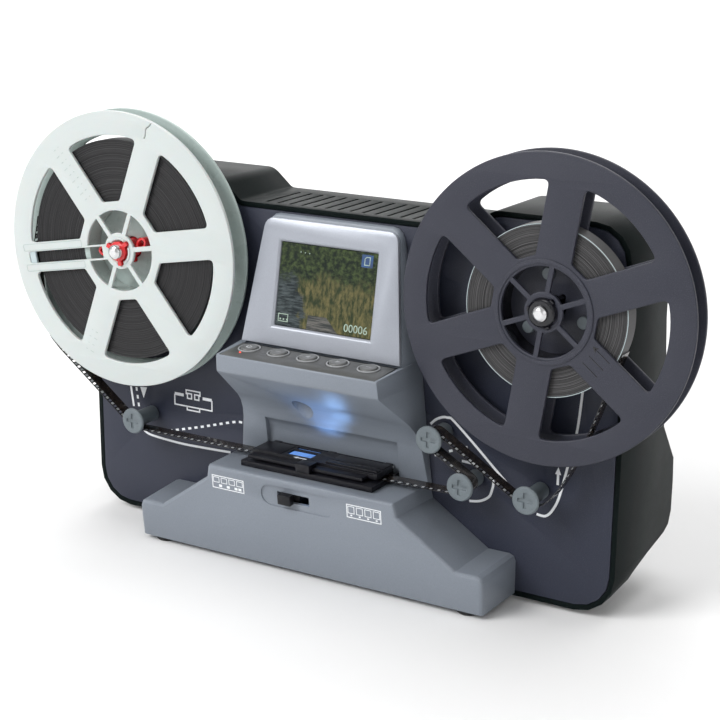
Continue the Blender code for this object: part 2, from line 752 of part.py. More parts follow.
gate_base = add(
    "gate_base",
    box_mesh("gate_base", ((-GATE_HALF_W, GATE_FRONT, BASE_TOP + GAP), (GATE_HALF_W, GATE_BACK, GATE_TOP))),
    ((0.014, 0.014, 0.017), 0.4),
)
channel = box_mesh(
    "film_channel",
    ((-0.05, FILM_Y - FILM_W / 2 - GAP, FILM_GATE_Z - 0.0004), (0.05, FILM_Y + FILM_W / 2 + GAP, 0.06)),
)
cut(gate_base, cutter("film_channel", channel))
aperture = box_mesh("light_aperture", ((LIGHT_X[0], LIGHT_Y[0], 0.040), (LIGHT_X[1], LIGHT_Y[1], 0.060)))
cut(gate_base, cutter("light_aperture", aperture))
knuckle_pocket = box_mesh("knuckle_pocket", ((-0.0330, HINGE[0] - 0.0018, 0.0477), (0.0330, GATE_BACK + 0.001, 0.05)))
cut(gate_base, cutter("knuckle_pocket", knuckle_pocket))
lugs = box_mesh(
    "hinge_lugs",
    *(
        ((x - 0.0018, HINGE[0] - 0.0013, 0.0470), (x + 0.0018, GATE_BACK, HINGE[1] + 0.0011))
        for x in (-0.0290, 0.0, 0.0290)
    ),
)
cut(gate_base, cutter("hinge_lugs", lugs), "UNION")
lug_bore = lathe_mesh("lug_bore", disc_profile(0.0008, -0.05, 0.05), "X", HINGE, 12)
cut(gate_base, cutter("lug_bore", lug_bore))
add(
    "gate_hinge_pin",
    lathe_mesh("gate_hinge_pin", disc_profile(0.0005, -0.0318, 0.0318), "X", HINGE, 12),
    ((0.6, 0.6, 0.62), 0.3, 1.0),
)

hinge_origin = (0.0, HINGE[0], HINGE[1])
lid_boxes = (
    ((-LID_HALF_W, LID_FRONT, 0.0492), (LID_HALF_W, HINGE[0] - 0.0019, LID_TOP)),
    ((-0.0315, -0.0236, 0.0492), (0.0277, LID_FRONT + 0.0005, 0.0506)),
)
gate_lid = add("gate_lid", box_mesh("gate_lid", lid_boxes[0]), ((0.014, 0.014, 0.017), 0.38), hinge_origin)
cut(gate_lid, cutter("lid_bar", box_mesh("lid_bar", lid_boxes[1])), "UNION")
barrels = bmesh.new()
for x in (-0.0145, 0.0145):
    barrel = lathe_mesh("barrel", disc_profile(0.0013, x - 0.0122, x + 0.0122), "X", HINGE, 12)
    barrels.from_mesh(barrel)
    tongue = box_mesh(
        "tongue", ((x - 0.0122, HINGE[0] - 0.0026, HINGE[1] - 0.0006), (x + 0.0122, HINGE[0], HINGE[1] + 0.0010))
    )
    barrels.from_mesh(tongue)
barrel_mesh = bpy.data.meshes.new("lid_barrels")
barrels.to_mesh(barrel_mesh)
barrels.free()
cut(gate_lid, cutter("lid_barrels", barrel_mesh), "UNION").modifiers[-1].use_self = True
lid_bore = lathe_mesh("lid_bore", disc_profile(0.0008, -0.05, 0.05), "X", HINGE, 12)
cut(gate_lid, cutter("lid_bore", lid_bore))
lid_windows = box_mesh(
    "lid_windows",
    ((LIGHT_X[0], LIGHT_Y[0], 0.04), (LIGHT_X[1], -0.0096, 0.06)),
    ((LIGHT_X[0], -0.0080, 0.04), (LIGHT_X[1], -0.0058, 0.06)),
)
cut(gate_lid, cutter("lid_windows", lid_windows))

latch_boxes = (
    ((-0.0044, -0.0268, 0.0509), (0.0028, -0.0200, 0.0524)),
    ((-0.0044, -0.0268, 0.0488), (0.0028, -0.0240, 0.0520)),
)
gate_latch = add(
    "gate_latch", box_mesh("gate_latch", latch_boxes[0]), ((0.016, 0.016, 0.019), 0.4), (-0.0008, -0.0268, 0.0516)
)
cut(gate_latch, cutter("latch_lip", box_mesh("latch_lip", latch_boxes[1])), "UNION")

add(
    "gate_diffuser",
    box_mesh(
        "gate_diffuser",
        ((LIGHT_X[0] + GAP, LIGHT_Y[0] + GAP, 0.0462), (LIGHT_X[1] - GAP, LIGHT_Y[1] - GAP, 0.0474)),
    ),
    ((0.75, 0.85, 1.0), 0.3),
)
backlight_board = add(
    "backlight_board",
    box_mesh("backlight_board", ((-0.0210, -0.0200, 0.0352), (0.0020, -0.0040, 0.0366))),
    ((0.8, 0.8, 0.78), 0.5),
)
emitter = lathe_mesh(
    "emitter", disc_profile(0.0030, 0.0360, 0.0384), "Z", (sum(LIGHT_X) / 2, sum(LIGHT_Y) / 2), 16
)
cut(backlight_board, cutter("emitter", emitter), "UNION")


# ---------------------------------------------------------------- reels
def polar(centre, radius, angle):
    return (centre[0] + radius * math.cos(angle), centre[1] + radius * math.sin(angle))


def window_outline(centre, spoke_deg, spoke_w, index):
    """One opening of a flange, between two parallel-sided spokes."""
    a0 = math.radians(spoke_deg + 60 * index)
    a1 = a0 + math.radians(60)
    inner = math.asin(spoke_w / 2 / WINDOW_INNER_R)
    outer = math.asin(spoke_w / 2 / WINDOW_OUTER_R)
    corners = [polar((0, 0), WINDOW_INNER_R, a1 - inner), polar((0, 0), WINDOW_INNER_R, a0 + inner)]
    corners.append(polar((0, 0), WINDOW_OUTER_R, a0 + outer))
    radii = [0.0016, 0.0016, WINDOW_CORNER_R]
    steps = 6
    for k in range(1, steps):
        a = a0 + outer + (a1 - a0 - 2 * outer) * k / steps
        corners.append(polar((0, 0), WINDOW_OUTER_R, a))
        radii.append(0)
    corners.append(polar((0, 0), WINDOW_OUTER_R, a1 - outer))
    radii.append(WINDOW_CORNER_R)
    return [(centre[0] + x, centre[1] + z) for x, z in rounded(corners, radii, 2)]


def pocket_outline(centre, spoke_deg, index):
    """One opening of a hub, between two thin ribs."""
    a0 = math.radians(spoke_deg + 60 * index)
    a1 = a0 + math.radians(60)
    rib = 0.0011
    near, far = math.asin(rib / BOSS_R), math.asin(rib / HUB_OPEN_R)
    points = [polar(centre, HUB_OPEN_R, a0 + far + (a1 - a0 - 2 * far) * k / 4) for k in range(5)]
    points += [polar(centre, BOSS_R, a1 - near - (a1 - a0 - 2 * near) * k / 2) for k in range(3)]
    return points


def key_outline(centre, radius, reach, half, spoke_deg, steps=3):
    """A round bore or boss with three keys, a third of a turn apart."""
    points = []
    for k in range(3):
        a = math.radians(spoke_deg + 120 * k + 30)
        side = math.asin(half / radius)
        along_key = Vector((math.cos(a), math.sin(a)))
        across = Vector((-along_key.y, along_key.x))
        points.append(polar(centre, radius, a - side))
        for sign in (-1, 1):
            tip = Vector(centre) + along_key * reach + across * half * sign
            points.append(tuple(tip))
        points.append(polar(centre, radius, a + side))
        rest = math.radians(120) - 2 * side
        for i in range(1, steps):
            points.append(polar(centre, radius, a + side + rest * i / steps))
    return points


def reel(name, x, spoke_deg, spoke_w, pack_r, colour, core_colour, adapter):
    """A reel on its spindle: two flanges, core, wound film, adapter, shaft and drive gear."""
    centre = (x, REEL_Z)
    origin = (x, REEL_FRONT, REEL_Z)
    inner_front = REEL_FRONT + FLANGE_T
    inner_back = REEL_BACK - FLANGE_T + 0.0002
    windows = [window_outline(centre, spoke_deg, spoke_w, i) for i in range(6)]
    window_cutter = cutter(name + "_windows", prism_mesh("windows", windows, "Y", -0.05, 0.02))
    bore = [key_outline(centre, BOSS_BORE_R, 0.0070, 0.0013, spoke_deg)]
    bore_cutter = cutter(name + "_bore", prism_mesh("bore", bore, "Y", -0.05, 0.02))
    pockets = [pocket_outline(centre, spoke_deg, i) for i in range(6)]
    pocket_cutter = cutter(name + "_pockets", prism_mesh("pockets", pockets, "Y", -0.05, 0.02))

    front = add(
        name + "_front_flange",
        lathe_mesh("front_flange", disc_profile(REEL_R, REEL_FRONT, inner_front), "Y", centre, 64),
        colour,
        origin,
    )
    cut(front, window_cutter)
    cut(front, pocket_cutter)
    cut(front, bore_cutter)
    back = add(
        name + "_rear_flange",
        lathe_mesh("rear_flange", disc_profile(REEL_R, inner_back, REEL_BACK), "Y", centre, 64),
        colour,
        origin,
    )
    cut(back, window_cutter)
    cut(back, bore_cutter)

    core = ring_profile(HUB_R, HUB_OPEN_R + 0.0002, inner_front + GAP, inner_back - GAP)
    add(name + "_core", lathe_mesh("core", core, "Y", centre, 32), core_colour, origin)
    pack = ring_profile(pack_r, HUB_R + GAP, FILM_Y - FILM_W / 2, FILM_Y + FILM_W / 2)
    add(name + "_film_pack", lathe_mesh("pack", pack, "Y", centre, 48), ((0.05, 0.04, 0.035), 0.35), origin)

    keyed = [key_outline(centre, BOSS_BORE_R - 0.0004, 0.0066, 0.0009, spoke_deg)]
    adapter_obj = add(name + "_adapter", prism_mesh("adapter", keyed, "Y", REEL_FRONT - 0.0012, -0.0030), adapter, origin)
    sleeve = lathe_mesh("sleeve_bore", disc_profile(0.0032, -0.05, 0.02), "Y", centre, 20)
    cut(adapter_obj, cutter(name + "_sleeve_bore", sleeve))
    shaft = [
        (0, REEL_FRONT - 0.0047),
        (0.0022, REEL_FRONT - 0.0047),
        (0.0033, REEL_FRONT - 0.0036),
        (0.0033, REEL_FRONT - 0.0015),
        (0.0029, REEL_FRONT - 0.0015),
        (0.0029, 0.0110),
        (0, 0.0110),
    ]
    add(name + "_spindle", lathe_mesh("spindle", shaft, "Y", centre, 20), ((0.75, 0.75, 0.76), 0.2, 1.0), origin)

    mesh_dir = PINION_DIR if x < 0 else math.pi - PINION_DIR
    gear = [gear_outline(centre, GEAR_TEETH, mesh_dir)]
    gear_obj = add(name + "_gear", prism_mesh("gear", gear, "Y", 0.0060, 0.0100), ((0.75, 0.75, 0.70), 0.45), origin)
    cut(gear_obj, cutter(name + "_gear_bore", lathe_mesh("gear_bore", disc_profile(0.0032, -0.05, 0.02), "Y", centre, 16)))

    distance = GEAR_MODULE * (GEAR_TEETH + PINION_TEETH) / 2
    motor_at = polar(centre, distance, mesh_dir)
    pinion = [gear_outline(motor_at, PINION_TEETH, mesh_dir + math.pi + math.pi / PINION_TEETH)]
    add(
        name + "_pinion",
        prism_mesh("pinion", pinion, "Y", 0.0058, 0.0102),
        ((0.65, 0.55, 0.30), 0.3, 1.0),
        (motor_at[0], 0.0080, motor_at[1]),
    )
    motor = [(0, 0.0105), (0.0030, 0.0105), (0.0030, 0.0120), (0.0110, 0.0120), (0.0110, 0.0370), (0, 0.0370)]
    add(name + "_motor", lathe_mesh("motor", motor, "Y", motor_at, 24), ((0.5, 0.5, 0.5), 0.3, 1.0))

    bearing = ring_profile(BEARING_R, 0.0032, -0.0018, 0.0052)
    add(name + "_bearing", lathe_mesh("bearing", bearing, "Y", centre, 24), ((0.03, 0.03, 0.035), 0.4))


def gear_outline(centre, teeth, phase):
    """A spur gear with one tooth pointing along the phase angle and slack for free running."""
    pitch_r = GEAR_MODULE * teeth / 2
    root, tip = pitch_r - 1.05 * GEAR_MODULE, pitch_r + 0.80 * GEAR_MODULE
    step = 2 * math.pi / teeth
    points = []
    for i in range(teeth):
        a = phase + i * step
        for radius, share in ((root, -0.30), (tip, -0.11), (tip, 0.11), (root, 0.30)):
            points.append(polar(centre, radius, a + share * step))
    return points


reel(
    "supply",
    -REEL_X,
    SUPPLY_SPOKE_DEG,
    SUPPLY_SPOKE_W,
    SUPPLY_PACK_R,
    ((0.78, 0.83, 0.80), 0.4),
    ((0.45, 0.52, 0.50), 0.45),
    ((0.55, 0.02, 0.02), 0.35),
)
reel(
    "takeup",
    REEL_X,
    TAKEUP_SPOKE_DEG,
    TAKEUP_SPOKE_W,
    TAKEUP_PACK_R,
    ((0.10, 0.10, 0.125), 0.5),
    ((0.03, 0.03, 0.035), 0.45),
    ((0.015, 0.015, 0.015), 0.35),
)

# ---------------------------------------------------------------- guide rollers
for i, (x, z) in enumerate(ROLLERS):
    stem_back = -0.0008
    profile = [
        (0, ROLLER_FRONT),
        (ROLLER_CAP_R - 0.0005, ROLLER_FRONT),
        (ROLLER_CAP_R, ROLLER_FRONT + 0.0005),
        (ROLLER_CAP_R, ROLLER_FRONT + 0.0014),
        (ROLLER_STEM_R, ROLLER_FRONT + 0.0014),
        (ROLLER_STEM_R, stem_back),
        (ROLLER_BORE_R, stem_back),
        (ROLLER_BORE_R, ROLLER_FRONT + 0.0028),
        (0, ROLLER_FRONT + 0.0028),
    ]
    roller = add(
        "roller_" + str(i + 1),
        lathe_mesh("roller", profile, "Y", (x, z), 24),
        ((0.24, 0.27, 0.28), 0.45),
        (x, ROLLER_FRONT, z),
    )
    arm, width = 0.0034, 0.0008
    cross = [(width, width), (width, arm), (-width, arm), (-width, width), (-arm, width), (-arm, -width)]
    cross += [(-u, -v) for u, v in cross]
    cross_mesh = prism_mesh("cross", [[(x + u, z + v) for u, v in cross]], "Y", ROLLER_FRONT - 0.0034, ROLLER_FRONT + 0.0008)
    cut(roller, cutter("roller_cross_" + str(i + 1), cross_mesh))
    pin_tip, shank = ROLLER_FRONT + 0.0032, ROLLER_BORE_R - GAP
    pin = [(0, pin_tip), (shank, pin_tip), (shank, 0.0034), (0.0034, 0.0034), (0.0034, 0.0048), (0, 0.0048)]
    add("roller_pin_" + str(i + 1), lathe_mesh("pin", pin, "Y", (x, z), 12), ((0.6, 0.6, 0.6), 0.3, 1.0))


# ---------------------------------------------------------------- film path
def tangent(first, second):
    """The straight run between two circles (centre, radius, sense), sense +1 when the film turns anticlockwise."""
    (c1, r1, s1), (c2, r2, s2) = first, second
    line = Vector(c2) - Vector(c1)
    base = math.atan2(line.y, line.x)
    offset = math.asin((s1 * r1 - s2 * r2) / line.length)
    heading = base + offset
    right = Vector((math.sin(heading), -math.cos(heading)))
    return Vector(c1) + right * r1 * s1, Vector(c2) + right * r2 * s2


def arc(circle, start, end):
    """Points on a circle from start to end in its sense, both ends included."""
    centre, radius, sense = circle
    if radius == 0:
        return [Vector(centre)]
    a0 = math.atan2(start.y - centre[1], start.x - centre[0])
    a1 = math.atan2(end.y - centre[1], end.x - centre[0])
    sweep = ((a1 - a0) * sense) % (2 * math.pi)
    count = max(1, round(sweep / math.radians(24)))
    return [Vector(polar(centre, radius, a0 + sense * sweep * k / count)) for k in range(count + 1)]


wrap = ROLLER_STEM_R + GAP + FILM_T / 2
r1, r2, r3, r4 = ROLLERS
LOOSE_R = 0.0657
circles = [
    ((-REEL_X, REEL_Z), LOOSE_R, 1),
    (r1, wrap, 1),
    ((-GATE_HALF_W, FILM_GATE_Z), 0, 1),
    ((GATE_HALF_W, FILM_GATE_Z), 0, 1),
    (r3, wrap, 1),
    (r2, wrap, -1),
    (r4, wrap, 1),
]
runs = [tangent(a, b) for a, b in zip(circles, circles[1:])]

# The film leaves the supply roll in a slack turn that swells to the flange's rim.
supply_at = Vector(circles[0][0])
leaving = (runs[0][0] - supply_at).angle_signed(Vector((1, 0)))
start_r, start_angle = SUPPLY_PACK_R + GAP + FILM_T / 2, math.radians(168)
leaving %= 2 * math.pi
path = []
for k in range(12):
    share = k / 12
    swell = share * share * (3 - 2 * share)
    path.append(Vector(polar(supply_at, start_r + (LOOSE_R - start_r) * swell, start_angle + (leaving - start_angle) * share)))
path.append(runs[0][0])
for i, circle in enumerate(circles[1:-1]):
    path += arc(circle, runs[i][1], runs[i + 1][0])

# Past the last roller it hangs slack, and rises to the right-hand side of the take-up roll.
low_point = Vector(r4) + Vector((0.0006, -wrap))
path += arc(circles[-1], runs[-1][1], low_point)
arriving = math.radians(-20)
end = Vector(polar((REEL_X, REEL_Z), TAKEUP_PACK_R + GAP + FILM_T / 2, arriving))
pull_out = low_point + Vector((0.0140, 0.0013))
pull_in = end - 0.0400 * Vector((-math.sin(arriving), math.cos(arriving)))
for k in range(1, 13):
    t = k / 12
    point = low_point * (1 - t) ** 3 + pull_out * 3 * t * (1 - t) ** 2
    path.append(point + pull_in * 3 * t * t * (1 - t) + end * t ** 3)
clean = [path[0]]
for point in path[1:]:
    if (point - clean[-1]).length > 2e-5:
        clean.append(point)
path = clean

ribbon = bmesh.new()
sections = []
for i, point in enumerate(path):
    before = (point - path[i - 1]).normalized() if i else (path[1] - point).normalized()
    after = (path[i + 1] - point).normalized() if i + 1 < len(path) else before
    heading = (before + after).normalized()
    side = Vector((-heading.y, heading.x)) * FILM_T / 2 / max(0.5, heading.dot(after))
    corners = []
    for off, y in ((side, FILM_Y - FILM_W / 2), (side, FILM_Y + FILM_W / 2), (-side, FILM_Y + FILM_W / 2), (-side, FILM_Y - FILM_W / 2)):
        place = point + off
        corners.append(ribbon.verts.new((place.x, y, place.y)))
    sections.append(corners)
ribbon.faces.new(sections[0])
ribbon.faces.new(sections[-1])
for first, second in zip(sections, sections[1:]):
    for i in range(4):
        j = (i + 1) % 4
        ribbon.faces.new((first[i], first[j], second[j], second[i]))
add("film_strip", finished(ribbon, "film_strip"), ((0.06, 0.045, 0.035), 0.3))

# ---------------------------------------------------------------- main board
main_board = add(
    "main_board",
    box_mesh("main_board", ((-0.0600, 0.0200, 0.0260), (0.0550, 0.0216, 0.1050))),
    ((0.02, 0.12, 0.05), 0.5),
)
chips = box_mesh(
    "chips",
    ((-0.0150, 0.0190, 0.0600), (0.0050, 0.0204, 0.0800)),
    ((0.0180, 0.0188, 0.0500), (0.0300, 0.0204, 0.0680)),
    ((-0.0480, 0.0170, 0.0400), (-0.0360, 0.0204, 0.0520)),
)
cut(main_board, cutter("chips", chips), "UNION")

# ---------------------------------------------------------------- depth centred on y = 0
for obj in list(parts.objects) + list(helpers.objects):
    obj.location.y += PANEL_Y
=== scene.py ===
"""Look scene of a table-top 8 mm film scanner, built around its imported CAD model.

Metres, +Z up, +X from the supply reel to the take-up reel, front towards -Y.
"""

import json
import math

import bmesh
import bpy
from bpy.props import FloatProperty, FloatVectorProperty, PointerProperty, StringProperty
from mathutils import Matrix, Vector


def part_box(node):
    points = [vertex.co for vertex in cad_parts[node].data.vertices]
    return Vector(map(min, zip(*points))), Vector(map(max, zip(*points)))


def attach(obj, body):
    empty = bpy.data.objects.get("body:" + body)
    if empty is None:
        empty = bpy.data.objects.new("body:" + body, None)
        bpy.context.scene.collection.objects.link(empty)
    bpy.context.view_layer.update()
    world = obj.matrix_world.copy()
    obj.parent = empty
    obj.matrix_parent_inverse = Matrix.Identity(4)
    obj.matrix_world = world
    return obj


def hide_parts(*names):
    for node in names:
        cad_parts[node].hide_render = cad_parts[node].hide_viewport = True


bl_info = {
    "name": "Film Scanner Look",
    "version": (1, 0, 0),
    "blender": (4, 5, 0),
    "location": "3D View > Sidebar > Film Scanner",
    "description": "Pieces, finishes and studio for a table-top film scanner",
    "category": "Object",
}

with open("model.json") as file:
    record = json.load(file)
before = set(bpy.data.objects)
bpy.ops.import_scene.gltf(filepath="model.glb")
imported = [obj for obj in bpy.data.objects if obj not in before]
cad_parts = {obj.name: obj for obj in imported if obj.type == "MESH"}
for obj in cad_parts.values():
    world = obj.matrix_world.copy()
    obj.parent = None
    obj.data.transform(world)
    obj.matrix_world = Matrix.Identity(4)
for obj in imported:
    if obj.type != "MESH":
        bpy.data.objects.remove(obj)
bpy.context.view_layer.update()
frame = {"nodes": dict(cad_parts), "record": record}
for leftover in ("Cube", "Light", "Camera"):
    if leftover in bpy.data.objects:
        bpy.data.objects.remove(bpy.data.objects[leftover], do_unlink=True)

ROOT = "scanner_body"
MM = 0.001


def middle(node):
    low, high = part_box(node)
    return (low + high) / 2


PANEL_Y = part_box("front_panel")[0].y
SUPPLY_AT = middle("supply_front_flange")
TAKEUP_AT = middle("takeup_front_flange")
REEL_R = (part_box("supply_front_flange")[1].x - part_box("supply_front_flange")[0].x) / 2
SCREEN_LOW, SCREEN_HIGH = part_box("screen_window")
# The screen leans back from the bezel's foot, and the strip of buttons runs forward from it.
BEZEL_LEAN = math.radians(10.07)
STRIP_TILT = math.radians(4.17)
BEZEL_FOOT = Vector((0, PANEL_Y - 0.0150, 0.0996))
BUTTON_IN = 0.0064
STAND_UP = Matrix.Rotation(math.radians(90), 4, "X")
LAY_FLAT = Matrix.Rotation(math.radians(-90), 4, "X")


# ---------------------------------------------------------------- shader tools
MOTTLE_SCALE = 38.0
SMUDGE_SCALE = 95.0
DUST_SCALE = 240.0
GRAIN_DEPTH = 0.00008


def give(tree, socket, value):
    """Links a socket to an input, or sets the input to a number or a colour."""
    if isinstance(value, bpy.types.NodeSocket):
        tree.links.new(value, socket)
    elif socket.type == "RGBA":
        socket.default_value = (*value[:3], 1.0)
    else:
        socket.default_value = value


def shader_node(tree, kind, inputs=None, **settings):
    """A node with its settings, its inputs given as values or as sockets to link from."""
    made = tree.nodes.new(kind)
    for key, value in settings.items():
        setattr(made, key, value)
    for key, value in (inputs or {}).items():
        give(tree, made.inputs[key], value)
    return made


def math_node(tree, operation, *values):
    return shader_node(tree, "ShaderNodeMath", dict(enumerate(values)), operation=operation).outputs[0]


def plus(tree, first, second):
    return math_node(tree, "ADD", first, second)


def minus(tree, first, second):
    return math_node(tree, "SUBTRACT", first, second)


def times(tree, first, second):
    return math_node(tree, "MULTIPLY", first, second)


def mix_colour(tree, factor, first, second):
    return shader_node(tree, "ShaderNodeMix", {0: factor, 6: first, 7: second}, data_type="RGBA").outputs[2]


def ramp(tree, value, low, high):
    """0 to 1 as the value goes from low to high, eased at both ends."""
    inputs = {"Value": value, "From Min": low, "From Max": high}
    return shader_node(tree, "ShaderNodeMapRange", inputs, interpolation_type="SMOOTHSTEP").outputs[0]


def band(tree, value, low, high, fade):
    """1 between low and high, fading to 0 inside both ends."""
    return times(tree, ramp(tree, value, low, low + fade), ramp(tree, value, high, high - fade))


def noise(tree, vector, scale, detail=2.0, roughness=0.5):
    inputs = {"Vector": vector, "Scale": scale, "Detail": detail, "Roughness": roughness}
    return shader_node(tree, "ShaderNodeTexNoise", inputs).outputs["Fac"]


def object_place(tree):
    return shader_node(tree, "ShaderNodeTexCoord").outputs["Object"]


def split(tree, vector):
    return shader_node(tree, "ShaderNodeSeparateXYZ", {0: vector}).outputs


def new_group(name, inputs, outputs):
    """An empty node group. A default of three numbers makes a colour input, one number a plain one."""
    tree = bpy.data.node_groups.new(name, "ShaderNodeTree")
    for label, default in inputs.items():
        coloured = isinstance(default, tuple)
        kind = "NodeSocketColor" if coloured else "NodeSocketFloat"
        socket = tree.interface.new_socket(label, in_out="INPUT", socket_type=kind)
        socket.default_value = (*default, 1.0) if coloured else default
    for label in outputs:
        kind = "NodeSocketColor" if label == "Colour" else "NodeSocketFloat"
        tree.interface.new_socket(label, in_out="OUTPUT", socket_type=kind)
    return tree, tree.nodes.new("NodeGroupInput").outputs, tree.nodes.new("NodeGroupOutput").inputs


def make_grain_group():
    """Moulded or powdered surface: fine speckle, broad mottle and uneven gloss."""
    inputs = {
        "Colour": (0.3, 0.3, 0.3),
        "Speckle Colour": (0.5, 0.5, 0.5),
        "Speckle Amount": 0.2,
        "Speckle Scale": 1800.0,
        "Mottle": 0.1,
        "Roughness": 0.5,
        "Roughness Spread": 0.1,
    }
    tree, given, out = new_group("Moulded Grain", inputs, ("Colour", "Roughness", "Height"))
    place = object_place(tree)
    fine = noise(tree, place, given["Speckle Scale"], 2.0, 0.6)
    spots = times(tree, ramp(tree, fine, 0.52, 0.70), given["Speckle Amount"])
    pits = times(tree, ramp(tree, fine, 0.48, 0.32), given["Speckle Amount"])
    swing = times(tree, minus(tree, noise(tree, place, MOTTLE_SCALE, 3.0), 0.5), given["Mottle"])
    shade = minus(tree, plus(tree, swing, 1.0), times(tree, pits, 0.5))
    toned = shader_node(tree, "ShaderNodeHueSaturation", {"Color": given["Colour"], "Value": shade})
    smudge = minus(tree, noise(tree, place, SMUDGE_SCALE, 4.0, 0.65), 0.5)
    uneven = plus(tree, given["Roughness"], times(tree, smudge, given["Roughness Spread"]))
    give(tree, out["Colour"], mix_colour(tree, spots, toned.outputs[0], given["Speckle Colour"]))
    give(tree, out["Roughness"], uneven)
    give(tree, out["Height"], fine)
    return tree


def make_dust_group():
    """A thin, patchy film of dust on what faces up."""
    inputs = {"Colour": (0.3, 0.3, 0.3), "Roughness": 0.5, "Dust Colour": (0.42, 0.41, 0.39), "Amount": 0.06}
    tree, given, out = new_group("Settled Dust", inputs, ("Colour", "Roughness"))
    facing = split(tree, shader_node(tree, "ShaderNodeNewGeometry").outputs["Normal"])
    upward = ramp(tree, facing["Z"], 0.35, 1.0)
    patches = ramp(tree, noise(tree, object_place(tree), DUST_SCALE, 5.0, 0.7), 0.35, 0.75)
    mask = times(tree, times(tree, upward, patches), given["Amount"])
    give(tree, out["Colour"], mix_colour(tree, mask, given["Colour"], given["Dust Colour"]))
    give(tree, out["Roughness"], plus(tree, given["Roughness"], times(tree, mask, 0.8)))
    return tree


def make_turns_group():
    """Concentric turns of wound film, or turning marks, about an axis along Y."""
    inputs = {
        "Centre X": 0.0,
        "Centre Z": 0.0,
        "Turns per Metre": 2600.0,
        "Dark": (0.02, 0.02, 0.02),
        "Light": (0.1, 0.1, 0.1),
    }
    tree, given, out = new_group("Wound Turns", inputs, ("Colour", "Height"))
    parts = split(tree, object_place(tree))
    across = minus(tree, parts["X"], given["Centre X"])
    up = minus(tree, parts["Z"], given["Centre Z"])
    radius = math_node(tree, "SQRT", plus(tree, times(tree, across, across), times(tree, up, up)))
    along = times(tree, radius, given["Turns per Metre"])
    wave = {"W": along, "Scale": 1.0, "Detail": 3.0, "Roughness": 0.7}
    turns = shader_node(tree, "ShaderNodeTexNoise", wave, noise_dimensions="1D").outputs["Fac"]
    give(tree, out["Colour"], mix_colour(tree, ramp(tree, turns, 0.36, 0.70), given["Dark"], given["Light"]))
    give(tree, out["Height"], turns)
    return tree


GROUP_MAKERS = {
    "Moulded Grain": make_grain_group,
    "Settled Dust": make_dust_group,
    "Wound Turns": make_turns_group,
}
GROUPS = {}


def use_group(tree, name, inputs):
    """The outputs of a shared effect, which is built the first time that it is used."""
    if name not in GROUPS:
        GROUPS[name] = GROUP_MAKERS[name]()
    return shader_node(tree, "ShaderNodeGroup", inputs, node_tree=GROUPS[name]).outputs


# ---------------------------------------------------------------- finishes
def new_material(name):
    made = bpy.data.materials.new(name)
    made.use_nodes = True
    return made, made.node_tree, made.node_tree.nodes["Principled BSDF"]


def set_sockets(shader, **values):
    """Sets the shader's own sockets. A space in a label is written as an underscore."""
    for label, value in values.items():
        shader.inputs[label.replace("_", " ")].default_value = value


def bump(tree, shader, height, strength, distance):
    made = shader_node(tree, "ShaderNodeBump", {"Strength": strength, "Distance": distance, "Height": height})
    give(tree, shader.inputs["Normal"], made.outputs[0])


def moulded(
    name, colour, speckle=None, amount=0.15, scale=1800.0, mottle=0.10, rough=0.5, spread=0.12,
    relief=0.12, dust=0.05, coat=0.0, metallic=0.0, specular=0.5, **sockets,
):
    """A finish with grain and dust, over a Principled shader."""
    made, tree, shader = new_material(name)
    grain_inputs = {
        "Colour": colour,
        "Speckle Colour": speckle or tuple(min(1.0, 0.04 + 1.35 * c) for c in colour),
        "Speckle Amount": amount,
        "Speckle Scale": scale,
        "Mottle": mottle,
        "Roughness": rough,
        "Roughness Spread": spread,
    }
    grain = use_group(tree, "Moulded Grain", grain_inputs)
    dust_inputs = {"Colour": grain["Colour"], "Roughness": grain["Roughness"], "Amount": dust}
    dusty = use_group(tree, "Settled Dust", dust_inputs)
    give(tree, shader.inputs["Base Color"], dusty["Colour"])
    give(tree, shader.inputs["Roughness"], dusty["Roughness"])
    set_sockets(shader, Metallic=metallic, Specular_IOR_Level=specular, Coat_Weight=coat, Coat_Roughness=0.15)
    set_sockets(shader, **sockets)
    bump(tree, shader, grain["Height"], relief, GRAIN_DEPTH)
    return made


def with_turns(name, centre, turns_per_metre, dark, light, relief, depth, **sockets):
    """A finish with fine turns round an axis along Y."""
    made, tree, shader = new_material(name)
    turn_inputs = {
        "Centre X": centre[0],
        "Centre Z": centre[1],
        "Turns per Metre": turns_per_metre,
        "Dark": dark,
        "Light": light,
    }
    turns = use_group(tree, "Wound Turns", turn_inputs)
    give(tree, shader.inputs["Base Color"], turns["Colour"])
    set_sockets(shader, **sockets)
    bump(tree, shader, turns["Height"], relief, depth)
    return made


def turned_metal(name, colour, centre, rough):
    """Metal with fine turning marks round its axis."""
    dark = tuple(0.7 * c for c in colour)
    return with_turns(name, centre, 7000.0, dark, colour, 0.15, 0.00004, Metallic=1.0, Roughness=rough)


def wound_film(name, centre, dark, light):
    """The side of a roll of film: fine dark and light turns."""
    sockets = {"Roughness": 0.48, "Specular_IOR_Level": 0.25}
    return with_turns(name, centre, 2600.0, dark, light, 0.6, 0.0003, **sockets)


